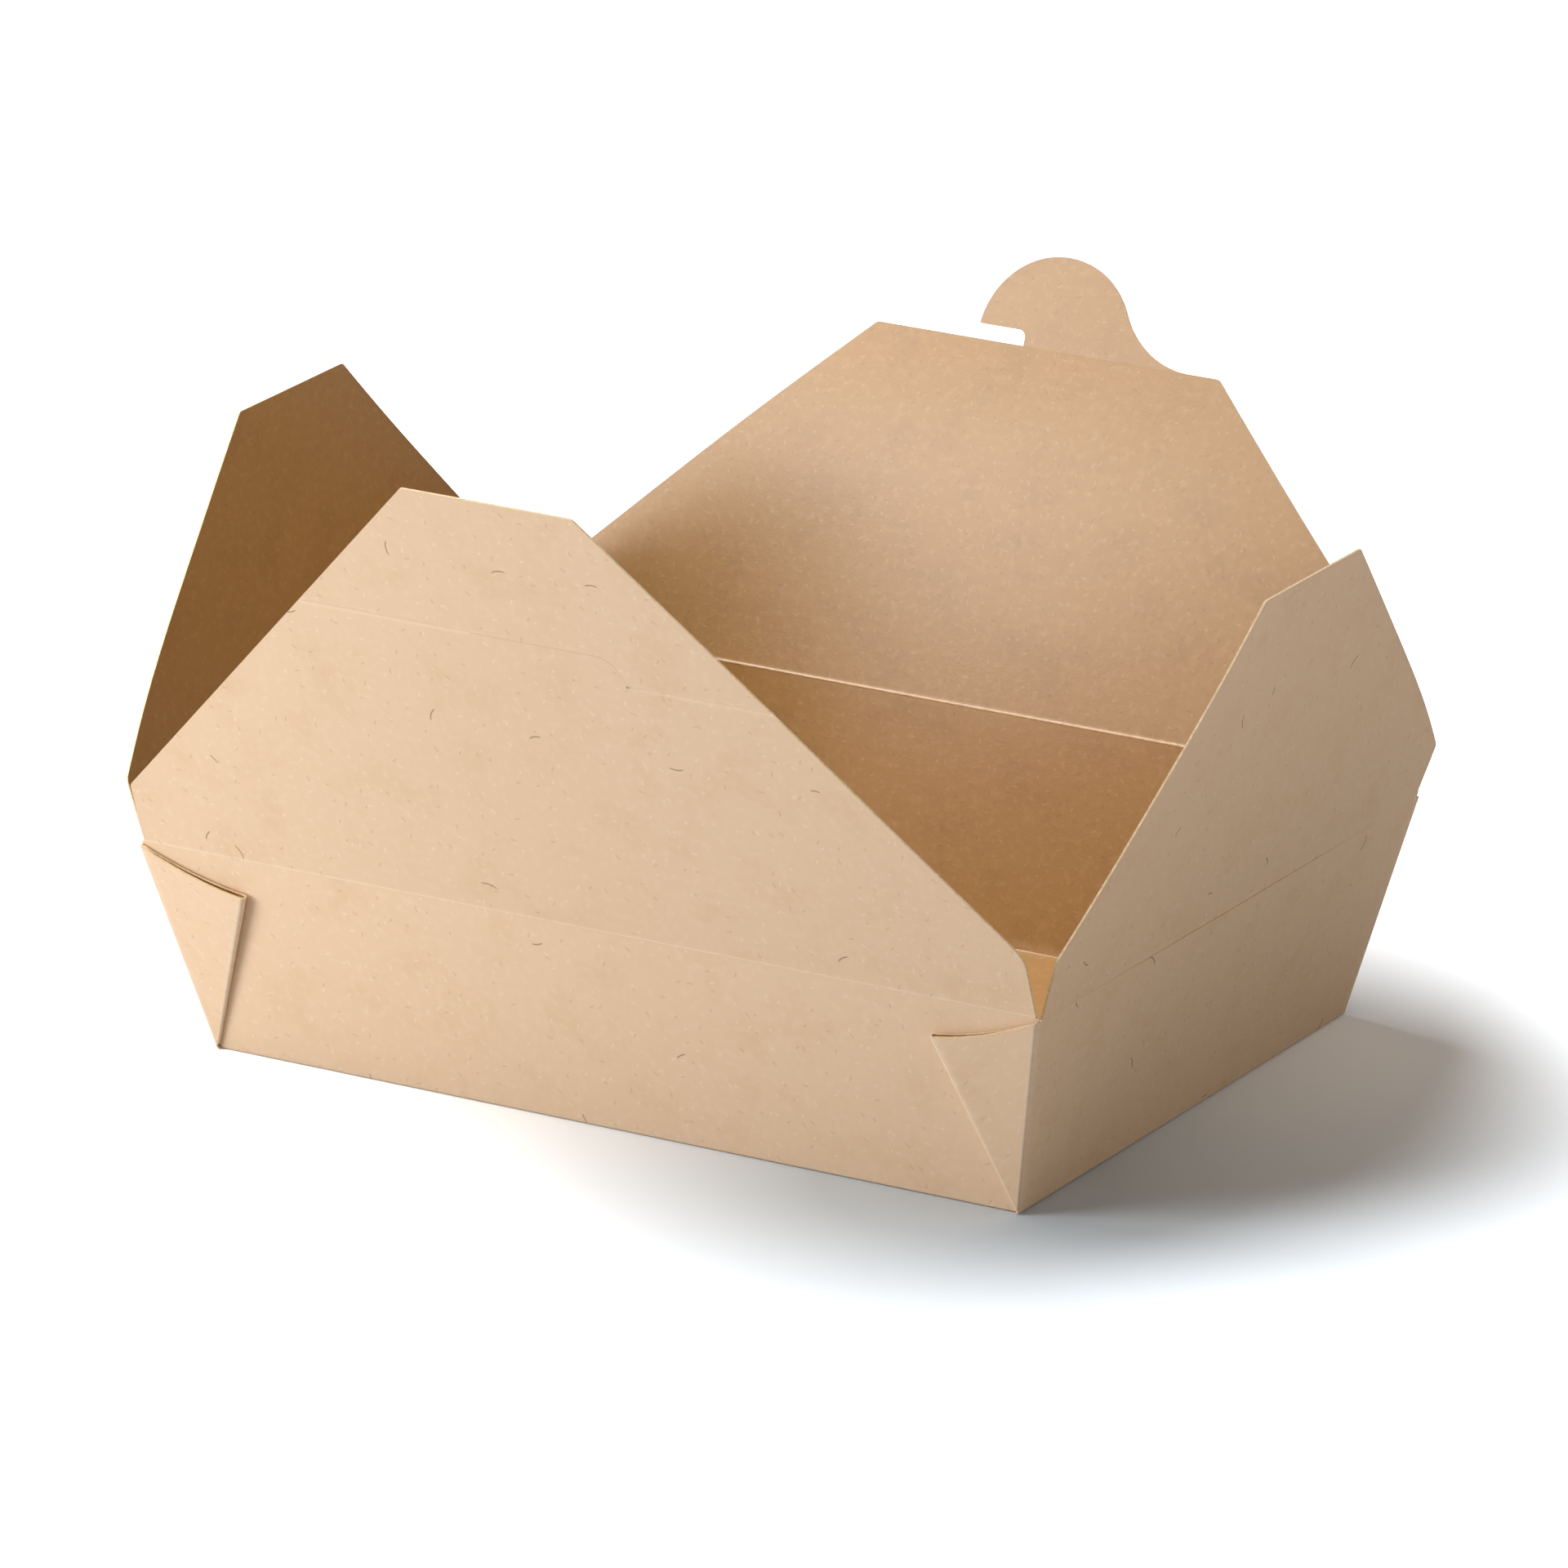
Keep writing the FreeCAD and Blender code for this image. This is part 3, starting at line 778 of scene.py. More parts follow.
    def dip(self, middle: np.ndarray, line: list, climb: np.ndarray) -> np.ndarray:
        """How far each point of the webs moves down for the hollow cut edge.

        The move is a parabola across the web, full at the middle between the corner edge and
        the diagonal fold, and it grows with the fourth power of the way up.

        Args:
            middle: the points of the end sheet.
            line: the lines that its rows run between.
            climb: each row's share of the way up.

        Returns:
            The moves, rows by columns.
        """
        move = np.zeros_like(middle)
        columns = np.arange(middle.shape[1])[None, :]
        near_half = columns < middle.shape[1] // 2
        webs = ((line[3], line[2], near_half), (line[4], line[5], ~near_half))
        for corner, diagonal, here in webs:
            span = np.maximum(np.linalg.norm(diagonal - corner, axis=-1), 1e-9)[:, None]
            way = unit(diagonal - corner)
            across = ((middle - corner[:, None]) * way[:, None]).sum(-1) / span
            hollow = 4 * across * (1 - across) * (np.abs(across - 0.5) < 0.5)
            down = unit(corner[0] - corner[-1])
            move += (hollow * here * climb[:, None] ** 4 * self.web_dip)[..., None] * down
        return move

    def finish_end(self, middle: np.ndarray, wall: tuple, end_side: Side) -> Sheet:
        """Add the fold under the end wall and the flat places.

        The wall's lowest row is repeated down the arc of the fold and in under the base. The
        webs have no such rows.

        Args:
            middle: the points of the wall and its webs.
            wall: the first and last column of the wall's flat part.
            end_side: the end.

        Returns:
            The sheet.
        """
        out = end_side.facing
        foot = middle[0]
        low = np.array([[SIZES.wall_distance(end_side, HALF_BOARD), 0.0, HALF_BOARD]])
        high = np.array([[SIZES.wall_distance(end_side, SIZES.rim_height), 0.0, SIZES.rim_height]])
        inside = low - np.array([[self.inset, 0.0, 0.0]])
        arc = fillet(inside, low, high, np.array([self.fold_radius]), 5)[0]
        wall_middle = sum(wall) // 2
        lowest = foot[wall_middle]
        outward = (arc[:, 0] - lowest @ out)[:, None, None] * out
        upward = (arc[:, 2] - lowest[2])[:, None, None] * UP
        rows = foot + (outward + upward)
        clear = middle[:, wall_middle, 2] > arc[-1, 2] + 0.05
        joined = np.concatenate([rows, middle[clear]])
        keep = np.ones((len(joined) - 1, joined.shape[1] - 1), bool)
        keep[:len(arc), :wall[0] - 5] = False
        keep[:len(arc), wall[1] + 4:] = False
        centre = joined.shape[1] // 2
        across = gap_lengths(joined, 1)
        across = across - across[:, centre, None] + self.end_place * out[0]
        upward = np.broadcast_to(gap_lengths(joined[:, centre, None], 0), across.shape)
        # The lighter crease colour, wear and painted highlight, grows with how sharply a row turns
        turning = unit(np.gradient(joined, axis=1))
        bends = np.linalg.norm(np.gradient(turning, axis=1), axis=-1)
        return Sheet(joined, np.full(joined.shape[:2], HALF_BOARD),
                     np.stack([across, upward], axis=-1), keep,
                     np.clip(bends * WEAR_AND_HIGHLIGHT_PER_TURN, 0, 1))

    def build(self, finishes: list) -> bpy.types.Object:
        """Build the tray and put it in place of its solid."""
        sheets = [self.long_sheet(), self.end_sheet(Side.LEFT), self.end_sheet(Side.RIGHT)]
        piece = board_piece("folded_tray", sheets, finishes)
        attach(piece, "tray")
        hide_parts("tray")
        return piece


@dataclass(frozen=True)
class Outline:
    """One slanted side of a flap: straight up from the crease, then in to the top edge.

    Attributes:
        half: half the width at the crease.
        side: height of the straight part.
        height: height of the top edge.
        top: half the width of the top edge.
        low_round: radius where the slant begins.
        top_round: radius at the top edge.
    """

    half: float
    side: float
    height: float
    top: float
    low_round: float
    top_round: float

    def turns(self) -> tuple:
        """The reach of the lower and of the upper rounding along the slant, and its direction."""
        length = math.hypot(self.half - self.top, self.height - self.side)
        inward = (self.half - self.top) / length
        upward = (self.height - self.side) / length
        low = self.low_round * math.tan(math.asin(inward) / 2)
        high = self.top_round * math.tan(math.acos(inward) / 2)
        return low, high, inward, upward

    def width(self, height: np.ndarray) -> np.ndarray:
        """How far the edge is from the flap's middle at each height.

        The slant is a straight line. Each rounding is a circle that touches its two lines: its
        centre's distance plus the root of the squared radius less the squared height from it.

        Args:
            height: the heights up the flap.

        Returns:
            The distances.
        """
        low, high, inward, upward = self.turns()
        slant = self.half - (height - self.side) * inward / upward
        low_level = height - (self.side - low)
        low_arc = self.half - self.low_round + circle(self.low_round, low_level)
        top_level = height - (self.height - self.top_round)
        top_arc = self.top - high + circle(self.top_round, top_level)
        width = np.where(height < self.side - low, self.half, low_arc)
        width = np.where(height > self.side + low * upward, slant, width)
        return np.where(height > self.height - high * upward, top_arc, width)

    def levels(self, spacing: float) -> np.ndarray:
        """Heights for the flap's rows, close together at the crease and at both roundings.

        Args:
            spacing: how far apart the rows are elsewhere.

        Returns:
            The heights, rising. The first are on the crease's bead and end where it meets the
            board's inner face.
        """
        low, high, _, upward = self.turns()
        bead = SIZES.bead_radius
        seam = math.pi - math.asin(HALF_BOARD / bead)
        rolled = -bead * np.cos(np.linspace(math.radians(4), seam, 12))
        begin = self.side - low
        end = self.side + low * upward
        turn = self.height - high * upward
        plain = stations((rolled[-1], 1.2, 4), (1.2, begin, max(2, round(begin / spacing))),
                         (begin, end, 8), (end, turn, round((turn - end) / spacing)))
        crown = turn + (self.height - turn) * np.sin(np.linspace(0, math.pi / 2, 9))
        return np.concatenate([rolled, plain[1:], crown[1:]])


def rolled_faces(levels: np.ndarray, ridge: float) -> tuple:
    """How far a flap's two faces are from its mid-plane.

    The inner face follows a round bead on the crease, then plain board. The outer face shows
    only a share of that bead, and rounds in only near the bead's lowest line.

    Args:
        levels: heights up the flap.
        ridge: the share of the bead that stands out on the outer face.

    Returns:
        The distances of the outer and of the inner face.
    """
    bead = circle(SIZES.bead_radius, levels)
    inner = np.where(levels < 0, bead, np.maximum(bead, HALF_BOARD))
    outer = HALF_BOARD + ridge * (inner - HALF_BOARD)
    rounding = np.sqrt(np.clip(
        (SIZES.bead_radius + levels) / (SIZES.bead_radius - BEAD_FLAT), 0, 1))
    return np.where(levels < -BEAD_FLAT, np.minimum(outer, HALF_BOARD) * rounding, outer), inner


@dataclass(frozen=True)
class Flap:
    """A flap of board on its crease.

    Attributes:
        side: the side that it stands on.
        node: the name of its solid, and of its body.
        piece_name: the object's name.
        lean: how far it leans out from upright, in degrees.
        outline: its edge.
        bend_radius: radius that it is bowed inward on as it rises, or 0.
        swell: how far its middle swells inward between the crease and the top.
        wave: height of the slow waves in the board.
        spacing: distance between the grid's lines.
        ridge: how much of the crease's bead, and of its wear and painted highlight, shows on the
            outer face.
        ease: how many degrees of its lean the flap takes only as it leaves the crease.
        ease_length: how far up the flap that is mostly done.
        curl: how far its right side, from outside, bows outward.
        wave_turns: half turns of the slow waves up the flap and across its half width.
        wave_phase: turn of the waves at the flap's middle, in radians.
    """

    side: Side
    node: str
    piece_name: str
    lean: float
    outline: Outline
    bend_radius: float = 0.0
    swell: float = 0.0
    wave: float = 0.12
    spacing: float = 2.4
    ridge: float = 0.5
    ease: float = 0.0
    ease_length: float = 9.0
    curl: float = 0.0
    wave_turns: tuple = (2.3, 1.4)
    wave_phase: float = 0.6

    def ways(self) -> tuple:
        """The directions up the leaning flap and outward from it."""
        tilt = math.radians(self.lean)
        rise = UP * math.cos(tilt) + self.side.facing * math.sin(tilt)
        return rise, np.cross(self.side.along, rise)

    def place(self, across: np.ndarray, upward: np.ndarray, inward: np.ndarray) -> np.ndarray:
        """Stand drawn points on the crease.

        A point is the crease's middle plus its distance across along the crease, its height up
        the leaning flap and its depth outward. Depth is the sum of five parts:
        the bow, on a circle;
        the ease, a slope inward that dies away exponentially from the crease;
        slow waves, a sine up the flap times a cosine across it;
        the swell inward, half a sine up the flap that is fullest in the middle of its width;
        the curl outward, half a sine up the flap that grows evenly to its right edge.

        Args:
            across: distances along the crease, to the right from outside.
            upward: heights up the flap.
            inward: extra depth inward, as for a score.

        Returns:
            The points in the box's frame.
        """
        rise, outward = self.ways()
        height = SIZES.crease_height(self.side)
        foot = self.side.facing * SIZES.wall_distance(self.side, height) + UP * height
        share = np.clip(upward / self.outline.height, 0, 1)
        beside = across / self.outline.half
        arch = np.sin(share * math.pi)
        depth = -inward
        if self.bend_radius:
            depth = depth + np.sqrt(self.bend_radius ** 2 - upward ** 2) - self.bend_radius
        slope = math.tan(math.radians(self.ease)) * self.ease_length
        depth = depth - slope * (1 - np.exp(-np.maximum(upward, 0) / self.ease_length))
        waves = (np.sin(share * self.wave_turns[0] * math.pi)
                 * np.cos(beside * self.wave_turns[1] * math.pi + self.wave_phase))
        depth = depth - self.wave * (1 + waves) * np.minimum(share * 4, 1)
        depth = depth - self.swell * arch * (0.2 + 0.8 * np.cos(beside * math.pi / 2))
        rightward = np.clip(beside, 0, 1) * np.sqrt(1 - share * 0.7)
        depth = depth + self.curl * arch * rightward
        return (foot + across[..., None] * self.side.along + upward[..., None] * rise
                + depth[..., None] * outward)

    def sheet(self) -> Sheet:
        """The flap as a sheet: each row spans from one edge to the other at its height."""
        levels = self.outline.levels(self.spacing)
        width = self.outline.width(levels)
        steps = round(2 * self.outline.half / self.spacing)
        columns = np.linspace(-1, 1, steps + 1)
        across = width[:, None] * columns[None, :]
        upward = np.broadcast_to(levels[:, None], across.shape)
        keep = np.ones((len(levels) - 1, len(columns) - 1), bool)
        return self.as_sheet(across, upward, np.zeros(across.shape), keep)

    def as_sheet(self, across: np.ndarray, upward: np.ndarray, inward: np.ndarray,
                 keep: np.ndarray) -> Sheet:
        """Make the sheet from drawn points. Its crease mark, wear and painted highlight, fades up
        the flap as a bell curve.

        Args:
            across: distances along the crease, to the right from outside.
            upward: heights up the flap.
            inward: extra depth inward, as for a score.
            keep: which cells of the grid are board.

        Returns:
            The sheet.
        """
        flat = np.stack([across, upward], axis=-1) + FLAP_PLACES[self.side.name]
        # Crease wear and painted highlight on the bead, fading up from the crease
        fold = np.exp(-(upward / 0.5) ** 2)
        outer, inner = rolled_faces(upward, self.ridge)
        middle = self.place(across, upward, inward + (inner - outer) / 2)
        way = np.broadcast_to(self.ways()[1], middle.shape)
        return Sheet(middle, (outer + inner) / 2, flat, keep, fold, self.ridge, way)

    def build(self, finishes: list) -> bpy.types.Object:
        """Build the flap and put it in place of its solid."""
        piece = board_piece(self.piece_name, [self.sheet()], finishes)
        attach(piece, self.node)
        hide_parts(self.node)
        return piece


@dataclass(frozen=True)
class FrontFlap(Flap):
    """The front flap, with the slit for the hook and a score out to each edge.

    Attributes:
        round_right: radius of the right corner where the slant begins.
        slit_left: the slit's left end.
        slit_right: its right end.
        slit_height: its height on the left.
        drop: how far it turns down at its right end.
        slit_half: half its width: a knife cut, nearly shut.
        score_depth: depth of the scores.
        score_width: width of the scores.
        score_end: how far beyond the slit's end a score reaches its full depth.
        score_highlight_lift: how far above the groove's middle its lighter edge is: wear and a
            painted highlight on the score's upper lip.
        bend_low: height from which the rows bend to the slit's line.
        bend_high: how far under the top edge they are straight again.
        fine: heights of the rows near the slit, from its line.
    """

    round_right: float = 7.0
    slit_left: float = -11.0
    slit_right: float = 25.0
    slit_height: float = 74.5
    drop: float = 6.9
    slit_half: float = 0.03
    score_depth: float = 0.16
    score_width: float = 0.4
    score_end: float = 1.5
    score_highlight_lift: float = 0.4
    bend_low: float = 22.0
    bend_high: float = 4.0
    fine: tuple = (0.12, 0.25, 0.4, 0.6, 1.0, 1.6)

    def rows(self, outline: Outline) -> np.ndarray:
        """The heights of the outline's rows, with the fine ones in place of those near the slit."""
        levels = outline.levels(self.spacing)
        above = np.array([self.slit_half, *self.fine])
        near = self.slit_height + np.concatenate([-above[::-1], above])
        return np.sort(np.concatenate([levels[np.abs(levels - self.slit_height) > 2.0], near]))

    def fall(self, across: np.ndarray) -> np.ndarray:
        """How far the slit's line is under its left height: none, a quarter circle, the drop."""
        turn = np.clip(across - (self.slit_right - self.drop), 0, self.drop)
        return self.drop - np.sqrt(self.drop ** 2 - turn ** 2)

    def sheet(self) -> Sheet:
        """The flap as a sheet whose rows bend to follow the slit's line.

        A row's height is its own less the line's fall times a share that is one at the slit and
        falls evenly to nothing low on the flap and near its top. A score is a groove with the
        section of a bell curve, from each end of the slit to the flap's edge.

        Returns:
            The sheet, with the slit's cells cut away.
        """
        outline = self.outline
        wide = replace(outline, low_round=self.round_right)
        levels = self.rows(wide)
        bends = [self.bend_low, self.slit_height, outline.height - self.bend_high]
        share = np.interp(levels, bends, [0.0, 1.0, 0.0])
        right = wide.width(levels - self.drop * share)
        left = -outline.width(levels)
        bend = self.slit_right - self.drop
        turn = bend + self.drop * np.sin(np.linspace(0, math.pi / 2, 13))
        edge = outline.width(np.array([self.slit_height]))[0]
        marks = np.concatenate([stations((-edge, self.slit_left, 34), (self.slit_left, bend, 12)),
                                turn, stations((self.slit_right, edge, 28))])
        marks = marks[np.concatenate([[True], np.diff(marks) > 1e-3])]
        right_edge = wide.width(np.array([self.slit_height - self.drop]))[0]
        stretched = self.slit_right + ((marks - self.slit_right) * (right_edge - self.slit_right)
                                       / (edge - self.slit_right))
        columns = np.where(marks > self.slit_right, stretched, marks)
        columns = (columns + edge) / (right_edge + edge)
        across = left[:, None] * (1 - columns) + right[:, None] * columns
        upward = levels[:, None] - self.fall(across) * share[:, None]
        from_line = np.broadcast_to((levels - self.slit_height)[:, None], across.shape)
        at_slit = np.broadcast_to(marks[None, :], across.shape)
        beyond = np.maximum(self.slit_left - at_slit, at_slit - self.slit_right)
        scored = np.clip(beyond / self.score_end, 0, 1)
        inward = self.score_depth * np.exp(-(from_line / self.score_width) ** 2) * scored
        keep = np.ones((len(levels) - 1, len(columns) - 1), bool)
        cut_row = int(np.argmin(np.abs(levels - (self.slit_height - self.slit_half))))
        inside = (marks[:-1] > self.slit_left - 0.01) & (marks[1:] < self.slit_right + 0.01)
        keep[cut_row, inside] = False
        made = self.as_sheet(across, upward, inward, keep)
        # The score's upper lip takes the lighter crease colour: wear and a painted highlight
        light = np.exp(-((from_line - self.score_highlight_lift) / self.score_width) ** 2) * scored
        made.fold = np.maximum(made.fold, light)
        return made


@dataclass(frozen=True)
class BackFlap(Flap):
    """The back flap with its hook: a round lobe with a slot on one side and a hollow on the other.

    Attributes:
        radius: the lobe's radius.
        offset: how far its centre is from the flap's middle.
        rise: how far its centre is above the top edge.
        slot_width: the slot's width.
        slot_end: how far the slot's inner end is from the flap's middle.
        slot_round: radius in the slot's inner corner.
        hollow: the hollow's radius.
        counts: the number of cells in each band of columns: left of the lobe as the box is seen
            from behind, the lobe up to the slot, over the slot, and the rest.
    """

    radius: float = 18.7
    offset: float = 1.0
    rise: float = 2.0
    slot_width: float = 3.4
    slot_end: float = 6.0
    slot_round: float = 1.7
    hollow: float = 20.0
    counts: tuple = (20, 16, 8, 18)

    @property
    def slot_top(self) -> float:
        """The height of the slot's upper edge."""
        return self.outline.height + self.slot_width

    @property
    def touch(self) -> float:
        """The height where the hollow's circle runs into the lobe's."""
        share = self.radius / (self.radius + self.hollow)
        return self.outline.height + self.rise + share * (self.hollow - self.rise)

    def borders(self, levels: np.ndarray) -> np.ndarray:
        """The lines between the four bands of columns, at each height.

        Under the top edge they are upright. Above it the first follows the hollow's circle and
        then the lobe's, the second is the slot's end, and the third is the lobe's other side.

        Args:
            levels: heights up the flap.

        Returns:
            Five distances from the middle to each height.
        """
        top = self.outline.height
        slot_top = self.slot_top
        centre = -self.offset
        middle = top + self.rise
        reach = math.sqrt((self.radius + self.hollow) ** 2 - (self.hollow - self.rise) ** 2)
        edge = self.outline.width(np.minimum(levels, top))
        lobe = circle(self.radius, levels - middle)
        dish = np.where(levels > top, circle(self.hollow, levels - top - self.hollow), 0)
        first = np.where(levels > self.touch, centre - lobe, centre - reach + dish)
        slot_first = centre - reach + circle(self.hollow, self.hollow - self.slot_width)
        slot_third = centre + circle(self.radius, slot_top - middle)
        third = np.where(levels > slot_top, centre + lobe, slot_third)
        corner = np.maximum(levels - (slot_top - self.slot_round), 0)
        rounding = self.slot_round - circle(self.slot_round, corner)
        share = (self.slot_end + self.slot_round - slot_first) / (slot_third - slot_first)
        second = np.where(levels > slot_top, first + (third - first) * share,
                          self.slot_end + rounding)
        return np.stack([np.minimum(-edge, first - 0.01), first, second, third,
                         np.maximum(edge, third + 0.01)], axis=1)

    def sheet(self) -> Sheet:
        """The flap and its hook as one sheet, with the cells round the hook cut away.

        Its rows are closest where the hollow begins, round the slot's corner and at the lobe's
        peak, which stops a hair short so that the last row still has a width.

        Returns:
            The sheet.
        """
        top = self.outline.height
        slot_top = self.slot_top
        slot_low = slot_top - self.slot_round
        peak = top + self.rise + self.radius - 0.004
        dish = top + self.hollow * (1 - np.cos(np.linspace(0, 0.42, 14)))
        dish = dish[dish < slot_low - 0.02]
        corner = slot_low + self.slot_round * np.sin(np.linspace(0, math.pi / 2, 8))
        crown = self.touch + (peak - self.touch) * np.sin(np.linspace(0, math.pi / 2, 22))
        levels = np.concatenate([self.outline.levels(self.spacing), dish[1:], corner,
                                 np.linspace(slot_top, self.touch, 11)[1:], crown[1:]])
        shares = [np.linspace(0, 1, count + 1)[(1 if k else 0):]
                  for k, count in enumerate(self.counts)]
        borders = self.borders(levels)
        bands = [borders[:, k, None] * (1 - share) + borders[:, k + 1, None] * share
                 for k, share in enumerate(shares)]
        across = np.concatenate(bands, axis=1)
        upward = np.broadcast_to(levels[:, None], across.shape)
        band = np.repeat(np.arange(len(self.counts)), self.counts)[None, :]
        level = (levels[:-1, None] + levels[1:, None]) / 2
        keep = (level < top) | ((level < slot_top) & (band == 1)) | (
            (level > slot_top) & (band > 0) & (band < 3))
        return self.as_sheet(across, upward, np.zeros(across.shape), keep)


def toward(azimuth: float, elevation: float) -> Vector:
    """The direction to a turn to the right of the front and a height over the floor, in degrees."""
    turn = math.radians(azimuth)
    lift = math.radians(elevation)
    return Vector((math.sin(turn) * math.cos(lift), -math.cos(turn) * math.cos(lift),
                   math.sin(lift)))


def show(name: str, data: bpy.types.ID, place: Vector, back: Vector) -> bpy.types.Object:
    """Put a camera or a lamp in the scene.

    Args:
        name: the object's name.
        data: the camera or the lamp.
        place: where it stands, in metres.
        back: the direction that it turns its back to.

    Returns:
        The object.
    """
    shown = bpy.data.objects.new(name, data)
    shown.location = place
    shown.rotation_euler = back.to_track_quat("Z", "Y").to_euler()
    bpy.context.scene.collection.objects.link(shown)
    return shown


@dataclass(frozen=True)
class Softbox:
    """A square lamp that faces a point.

    Attributes:
        name: the lamp's name.
        place: where it stands, in metres.
        size: its side in metres.
        power: its power in watts.
        colour: the colour of its light.
        aim: the point that it faces, in metres.
        spread: how wide its grid lets the light out, in degrees.
    """

    name: str
    place: tuple
    size: float
    power: float
    colour: str = "#FFFFFF"
    aim: tuple = (0.0, 0.0, 0.05)
    spread: float = 180.0

    def build(self) -> None:
        """Add the lamp."""
        data = bpy.data.lights.new(self.name, "AREA")
        data.size = self.size
        data.energy = self.power
        data.color = linear(self.colour)[:3]
        data.spread = math.radians(self.spread)
        place = Vector(self.place)
        show(self.name, data, place, place - Vector(self.aim))


# The front one lights the front wall, the high one the floor and the inside, the near one gives
# the back flap its sheen, and the other two fill the right end and the left flap
SOFTBOXES = (
    Softbox("front_softbox", (-0.74, -0.78, 0.17), 0.6, 9.3),
    Softbox("high_softbox", (-0.5, -0.72, 0.72), 0.4, 2.3),
    Softbox("near_softbox", (-0.27, -0.29, 0.34), 0.15, 0.06, aim=(-0.13, 0.08, 0.045),
            spread=54.0),
    Softbox("right_fill", (1.2, 0.5, 0.42), 0.8, 3.4, colour="#FFF6EA"),
    Softbox("left_flap_fill", (0.45, -0.2, 0.4), 0.1, 0.035, aim=(-0.12, 0.0, 0.13), spread=40.0),
)


@dataclass(frozen=True)
class Studio:
    """The floor, the lights and the camera.

    Attributes:
        azimuth: the camera's turn to the right of the front, in degrees.
        elevation: its height over the floor, in degrees.
        distance: its distance from the point that it looks at, in metres.
        target: that point, in metres.
        lens: focal length in mm for a 36 mm sensor.
        key_azimuth: the main light's turn from the front, to the left below zero.
        key_elevation: its height over the floor.
        key_width: how wide it looks from the box, in degrees.
        key_strength: its strength.
        room: strength of the light from all round.
        floor_colour: the floor's grey as it lights the box.
        floor_painted_shadow: its red, green and blue as the camera sees them beside the box: darker
            and bluer, a painted shadow.
        floor_far: the same, away from the box.
        painted_shadow_centre: the point of the floor round which the painted shadow lies, in
            metres.
        painted_shadow_reach: the distances over which the painted shadow turns to the far colour,
            in metres.
        floor_half: half the floor's width, in metres.
        floor_drop: how far the floor is under the box, so that the two never coincide.
        softboxes: the lamps.
    """

    azimuth: float = 30.563
    elevation: float = 18.928
    distance: float = 3.0
    target: tuple = (-0.023541, 0.04045, 0.04)
    lens: float = 318.13
    key_azimuth: float = -93.0
    key_elevation: float = 63.0
    key_width: float = 40.0
    key_strength: float = 2.6
    room: float = 0.09
    floor_colour: float = 0.5
    # Painted shadow: the darker, bluer floor colour that the camera sees beside the box
    floor_painted_shadow: tuple = (0.67, 0.755, 0.83)
    floor_far: tuple = (1.85, 1.92, 2.0)
    painted_shadow_centre: tuple = (0.08, -0.06, 0.0)
    painted_shadow_reach: tuple = (0.03, 0.2)
    floor_half: float = 4.0
    floor_drop: float = 0.0001
    softboxes: tuple = SOFTBOXES

    def camera(self) -> None:
        """Add the camera at the photograph's angle and make it the scene's."""
        back = toward(self.azimuth, self.elevation)
        data = bpy.data.cameras.new("camera")
        data.lens = self.lens
        data.sensor_width = 36.0
        place = Vector(self.target) + back * self.distance
        bpy.context.scene.camera = show("camera", data, place, back)

    def sun(self) -> None:
        """Add the main light, wide and far away. It throws the shadow on the floor."""
        back = toward(self.key_azimuth, self.key_elevation)
        data = bpy.data.lights.new("key_light", "SUN")
        data.energy = self.key_strength
        data.angle = math.radians(self.key_width)
        show("key_light", data, back * 2, back)

    def floor(self) -> None:
        """Add the pale floor.

        It shows brighter to the camera than it lights the box, more so away from the box, so
        that it runs into the white background and keeps the shadow. Round a point by the box's
        right front corner the camera sees it darker and bluer: a painted shadow over the cast one.
        """
        corners = np.array([[-1, -1], [1, -1], [1, 1], [-1, 1]]) * self.floor_half
        points = np.column_stack([corners, np.full(4, -self.floor_drop)])
        mesh = bpy.data.meshes.new("floor")
        mesh.from_pydata(points.tolist(), [], [(0, 1, 2, 3)])
        ground = bpy.data.objects.new("floor", mesh)
        bpy.context.scene.collection.objects.link(ground)
        # The white sweep of card that the box stands on, with a painted shadow beside the box
        material = bpy.data.materials.new("card_sweep_with_painted_shadow")
        material.use_nodes = True
        tree = material.node_tree
        tree.nodes.clear()
        path = add(tree, "ShaderNodeLightPath", {})
        place = add(tree, "ShaderNodeTexCoord", {})
        # Painted shadow: to the camera the floor is darker and bluer round a point by the box's
        # right front corner, and bright further away
        away = add(tree, "ShaderNodeVectorMath", {0: place.outputs["Object"], 1: self.painted_shadow_centre},
                   operation="DISTANCE")
        far = add(tree, "ShaderNodeMapRange", {
            "Value": away.outputs["Value"], 1: self.painted_shadow_reach[0], 2: self.painted_shadow_reach[1],
            3: 0.0, 4: 1.0})
        seen = add(tree, "ShaderNodeMix", {
            0: far.outputs[0], 6: (*self.floor_painted_shadow, 1.0), 7: (*self.floor_far, 1.0)},
            data_type="RGBA", clamp_result=False)
        level = add(tree, "ShaderNodeMix", {
            0: path.outputs["Is Camera Ray"], 6: (*[self.floor_colour] * 3, 1.0),
            7: seen.outputs[2]}, data_type="RGBA", clamp_result=False)
        shader = add(tree, "ShaderNodeBsdfDiffuse", {"Color": level.outputs[2]})
        add(tree, "ShaderNodeOutputMaterial", {"Surface": shader.outputs[0]})
        mesh.materials.append(material)

    def world(self) -> None:
        """Set a soft grey room light, white where it is seen."""
        world = bpy.data.worlds.new("room")
        world.use_nodes = True
        tree = world.node_tree
        tree.nodes.clear()
        path = add(tree, "ShaderNodeLightPath", {})
        level = add(tree, "ShaderNodeMapRange", {
            "Value": path.outputs["Is Camera Ray"], 3: self.room, 4: 1.0})
        light = add(tree, "ShaderNodeBackground", {
            "Color": (1.0, 1.0, 1.0, 1.0), "Strength": level.outputs[0]})
        add(tree, "ShaderNodeOutputWorld", {"Surface": light.outputs[0]})
        bpy.context.scene.world = world

    def build(self) -> None:
        """Build the whole studio."""
        self.camera()
        self.floor()
        self.world()
        self.sun()
        for softbox in self.softboxes:
            softbox.build()
        bpy.context.scene.view_settings.view_transform = "Standard"


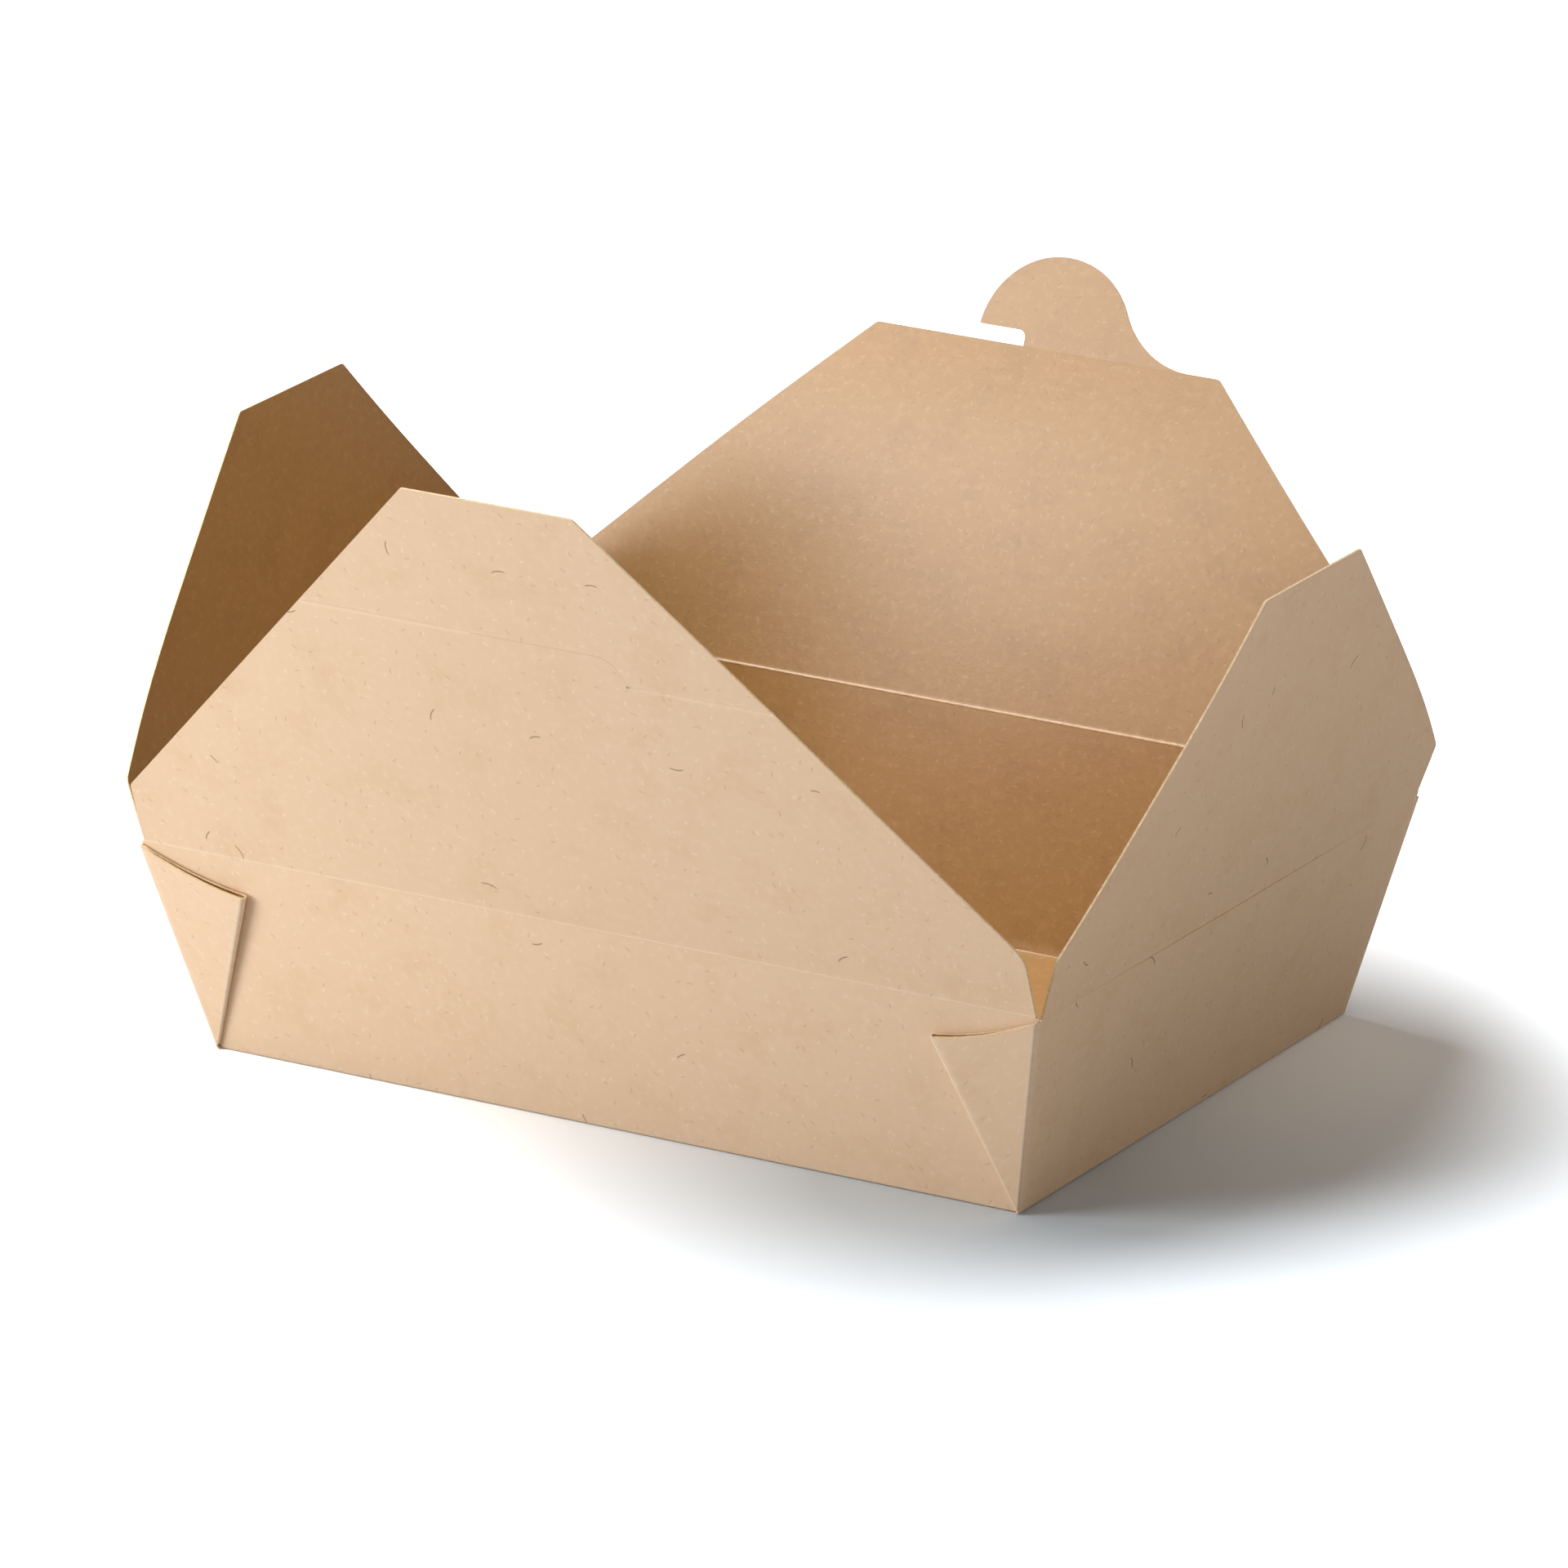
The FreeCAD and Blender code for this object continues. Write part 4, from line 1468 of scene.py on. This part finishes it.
def finishes() -> list:
    """The three materials of the board: outer face, inner face and cut edge."""
    hairs = FibreLayer(cell=22.0, length=4.4, width=0.3, bend=0.6, share=0.24,
                       colour="#86643F", strength=0.7)
    flecks = FibreLayer(cell=5.0, length=1.7, width=0.4, bend=0.1, share=0.4,
                        colour="#B18C66", strength=0.26)
    sparks = FibreLayer(cell=4.1, length=1.5, width=0.4, bend=0.1, share=0.4,
                        colour="#FBE8D0", strength=0.4)
    # Bleached kraft liner, calendered: pale tan and smooth, so it lights up evenly
    # Its crease colour is lighter: wear and a painted highlight
    outer = KraftFace(
        name="kraft_board_outer_liner", colour="#EBCCAB", shade="#E3C19C", tint="#F0D4B5",
        worn_and_highlit="#F7E2C6", wear_and_highlight=0.6, roughness=0.62, specular=0.3, grain=0.012,
        fibres=(sparks, flecks, hairs))
    dark_flecks = FibreLayer(cell=3.6, length=1.5, width=0.34, bend=0.1, share=0.5,
                             colour="#8C6238", strength=0.32)
    pale_flecks = FibreLayer(cell=3.1, length=1.4, width=0.34, bend=0.1, share=0.45,
                             colour="#D9B68A", strength=0.22)
    # Unbleached kraft with a grease barrier: warm brown with a low, wide sheen
    # Its crease colour is much lighter: wear and a painted highlight on the bead
    inner = KraftFace(
        name="kraft_board_inner_barrier", colour="#B28548", shade="#A47840", tint="#BE925A",
        worn_and_highlit="#E4C196", wear_and_highlight=0.9, roughness=0.32, specular=0.8, grain=0.02,
        fibres=(pale_flecks, dark_flecks))
    # The bare middle of the board, where the die has cut through both liners
    return [outer.material(), inner.material(), CutEdge().material()]


def flaps() -> list:
    """The four flaps, in the order that they are built."""
    long_half = SIZES.wall_distance(Side.RIGHT, SIZES.rim_height) - LONG_FLAP_INSET
    end_half = SIZES.wall_distance(Side.FRONT, SIZES.rim_height) - END_FLAP_INSET
    end = Outline(half=end_half, side=14.0, height=78.0, top=20.5, low_round=2.0, top_round=1.5)
    back = Outline(half=long_half, side=15.0, height=79.6, top=42.75, low_round=2.0, top_round=1.5)
    front = replace(back, height=109.4, top=20.5, low_round=1.0)
    bowed = {"outline": end, "bend_radius": 560.0, "ridge": 0.0, "curl": 3.0}
    return [
        Flap(Side.LEFT, "left_end_flap", "left_flap_board", lean=14.5, ease=1.5, **bowed),
        Flap(Side.RIGHT, "right_end_flap", "right_flap_board", lean=18.1, ease=4.5, **bowed),
        BackFlap(Side.BACK, "back_flap", "back_flap_board", lean=23.4, outline=back, swell=3.0),
        FrontFlap(Side.FRONT, "front_flap", "front_flap_board", lean=19.9, outline=front),
    ]


def main() -> None:
    """Build the box piece by piece, then the studio round it, and log each piece's number of faces.
    """
    logging.basicConfig(level=logging.INFO, format="%(name)s: %(message)s")
    board = finishes()
    for part in [Tray(), *flaps()]:
        piece = part.build(board)
        LOG.info("%s: %d faces", piece.name, len(piece.data.polygons))
    Studio().build()
    LOG.info("studio built")


if __name__ == "__main__":
    main()
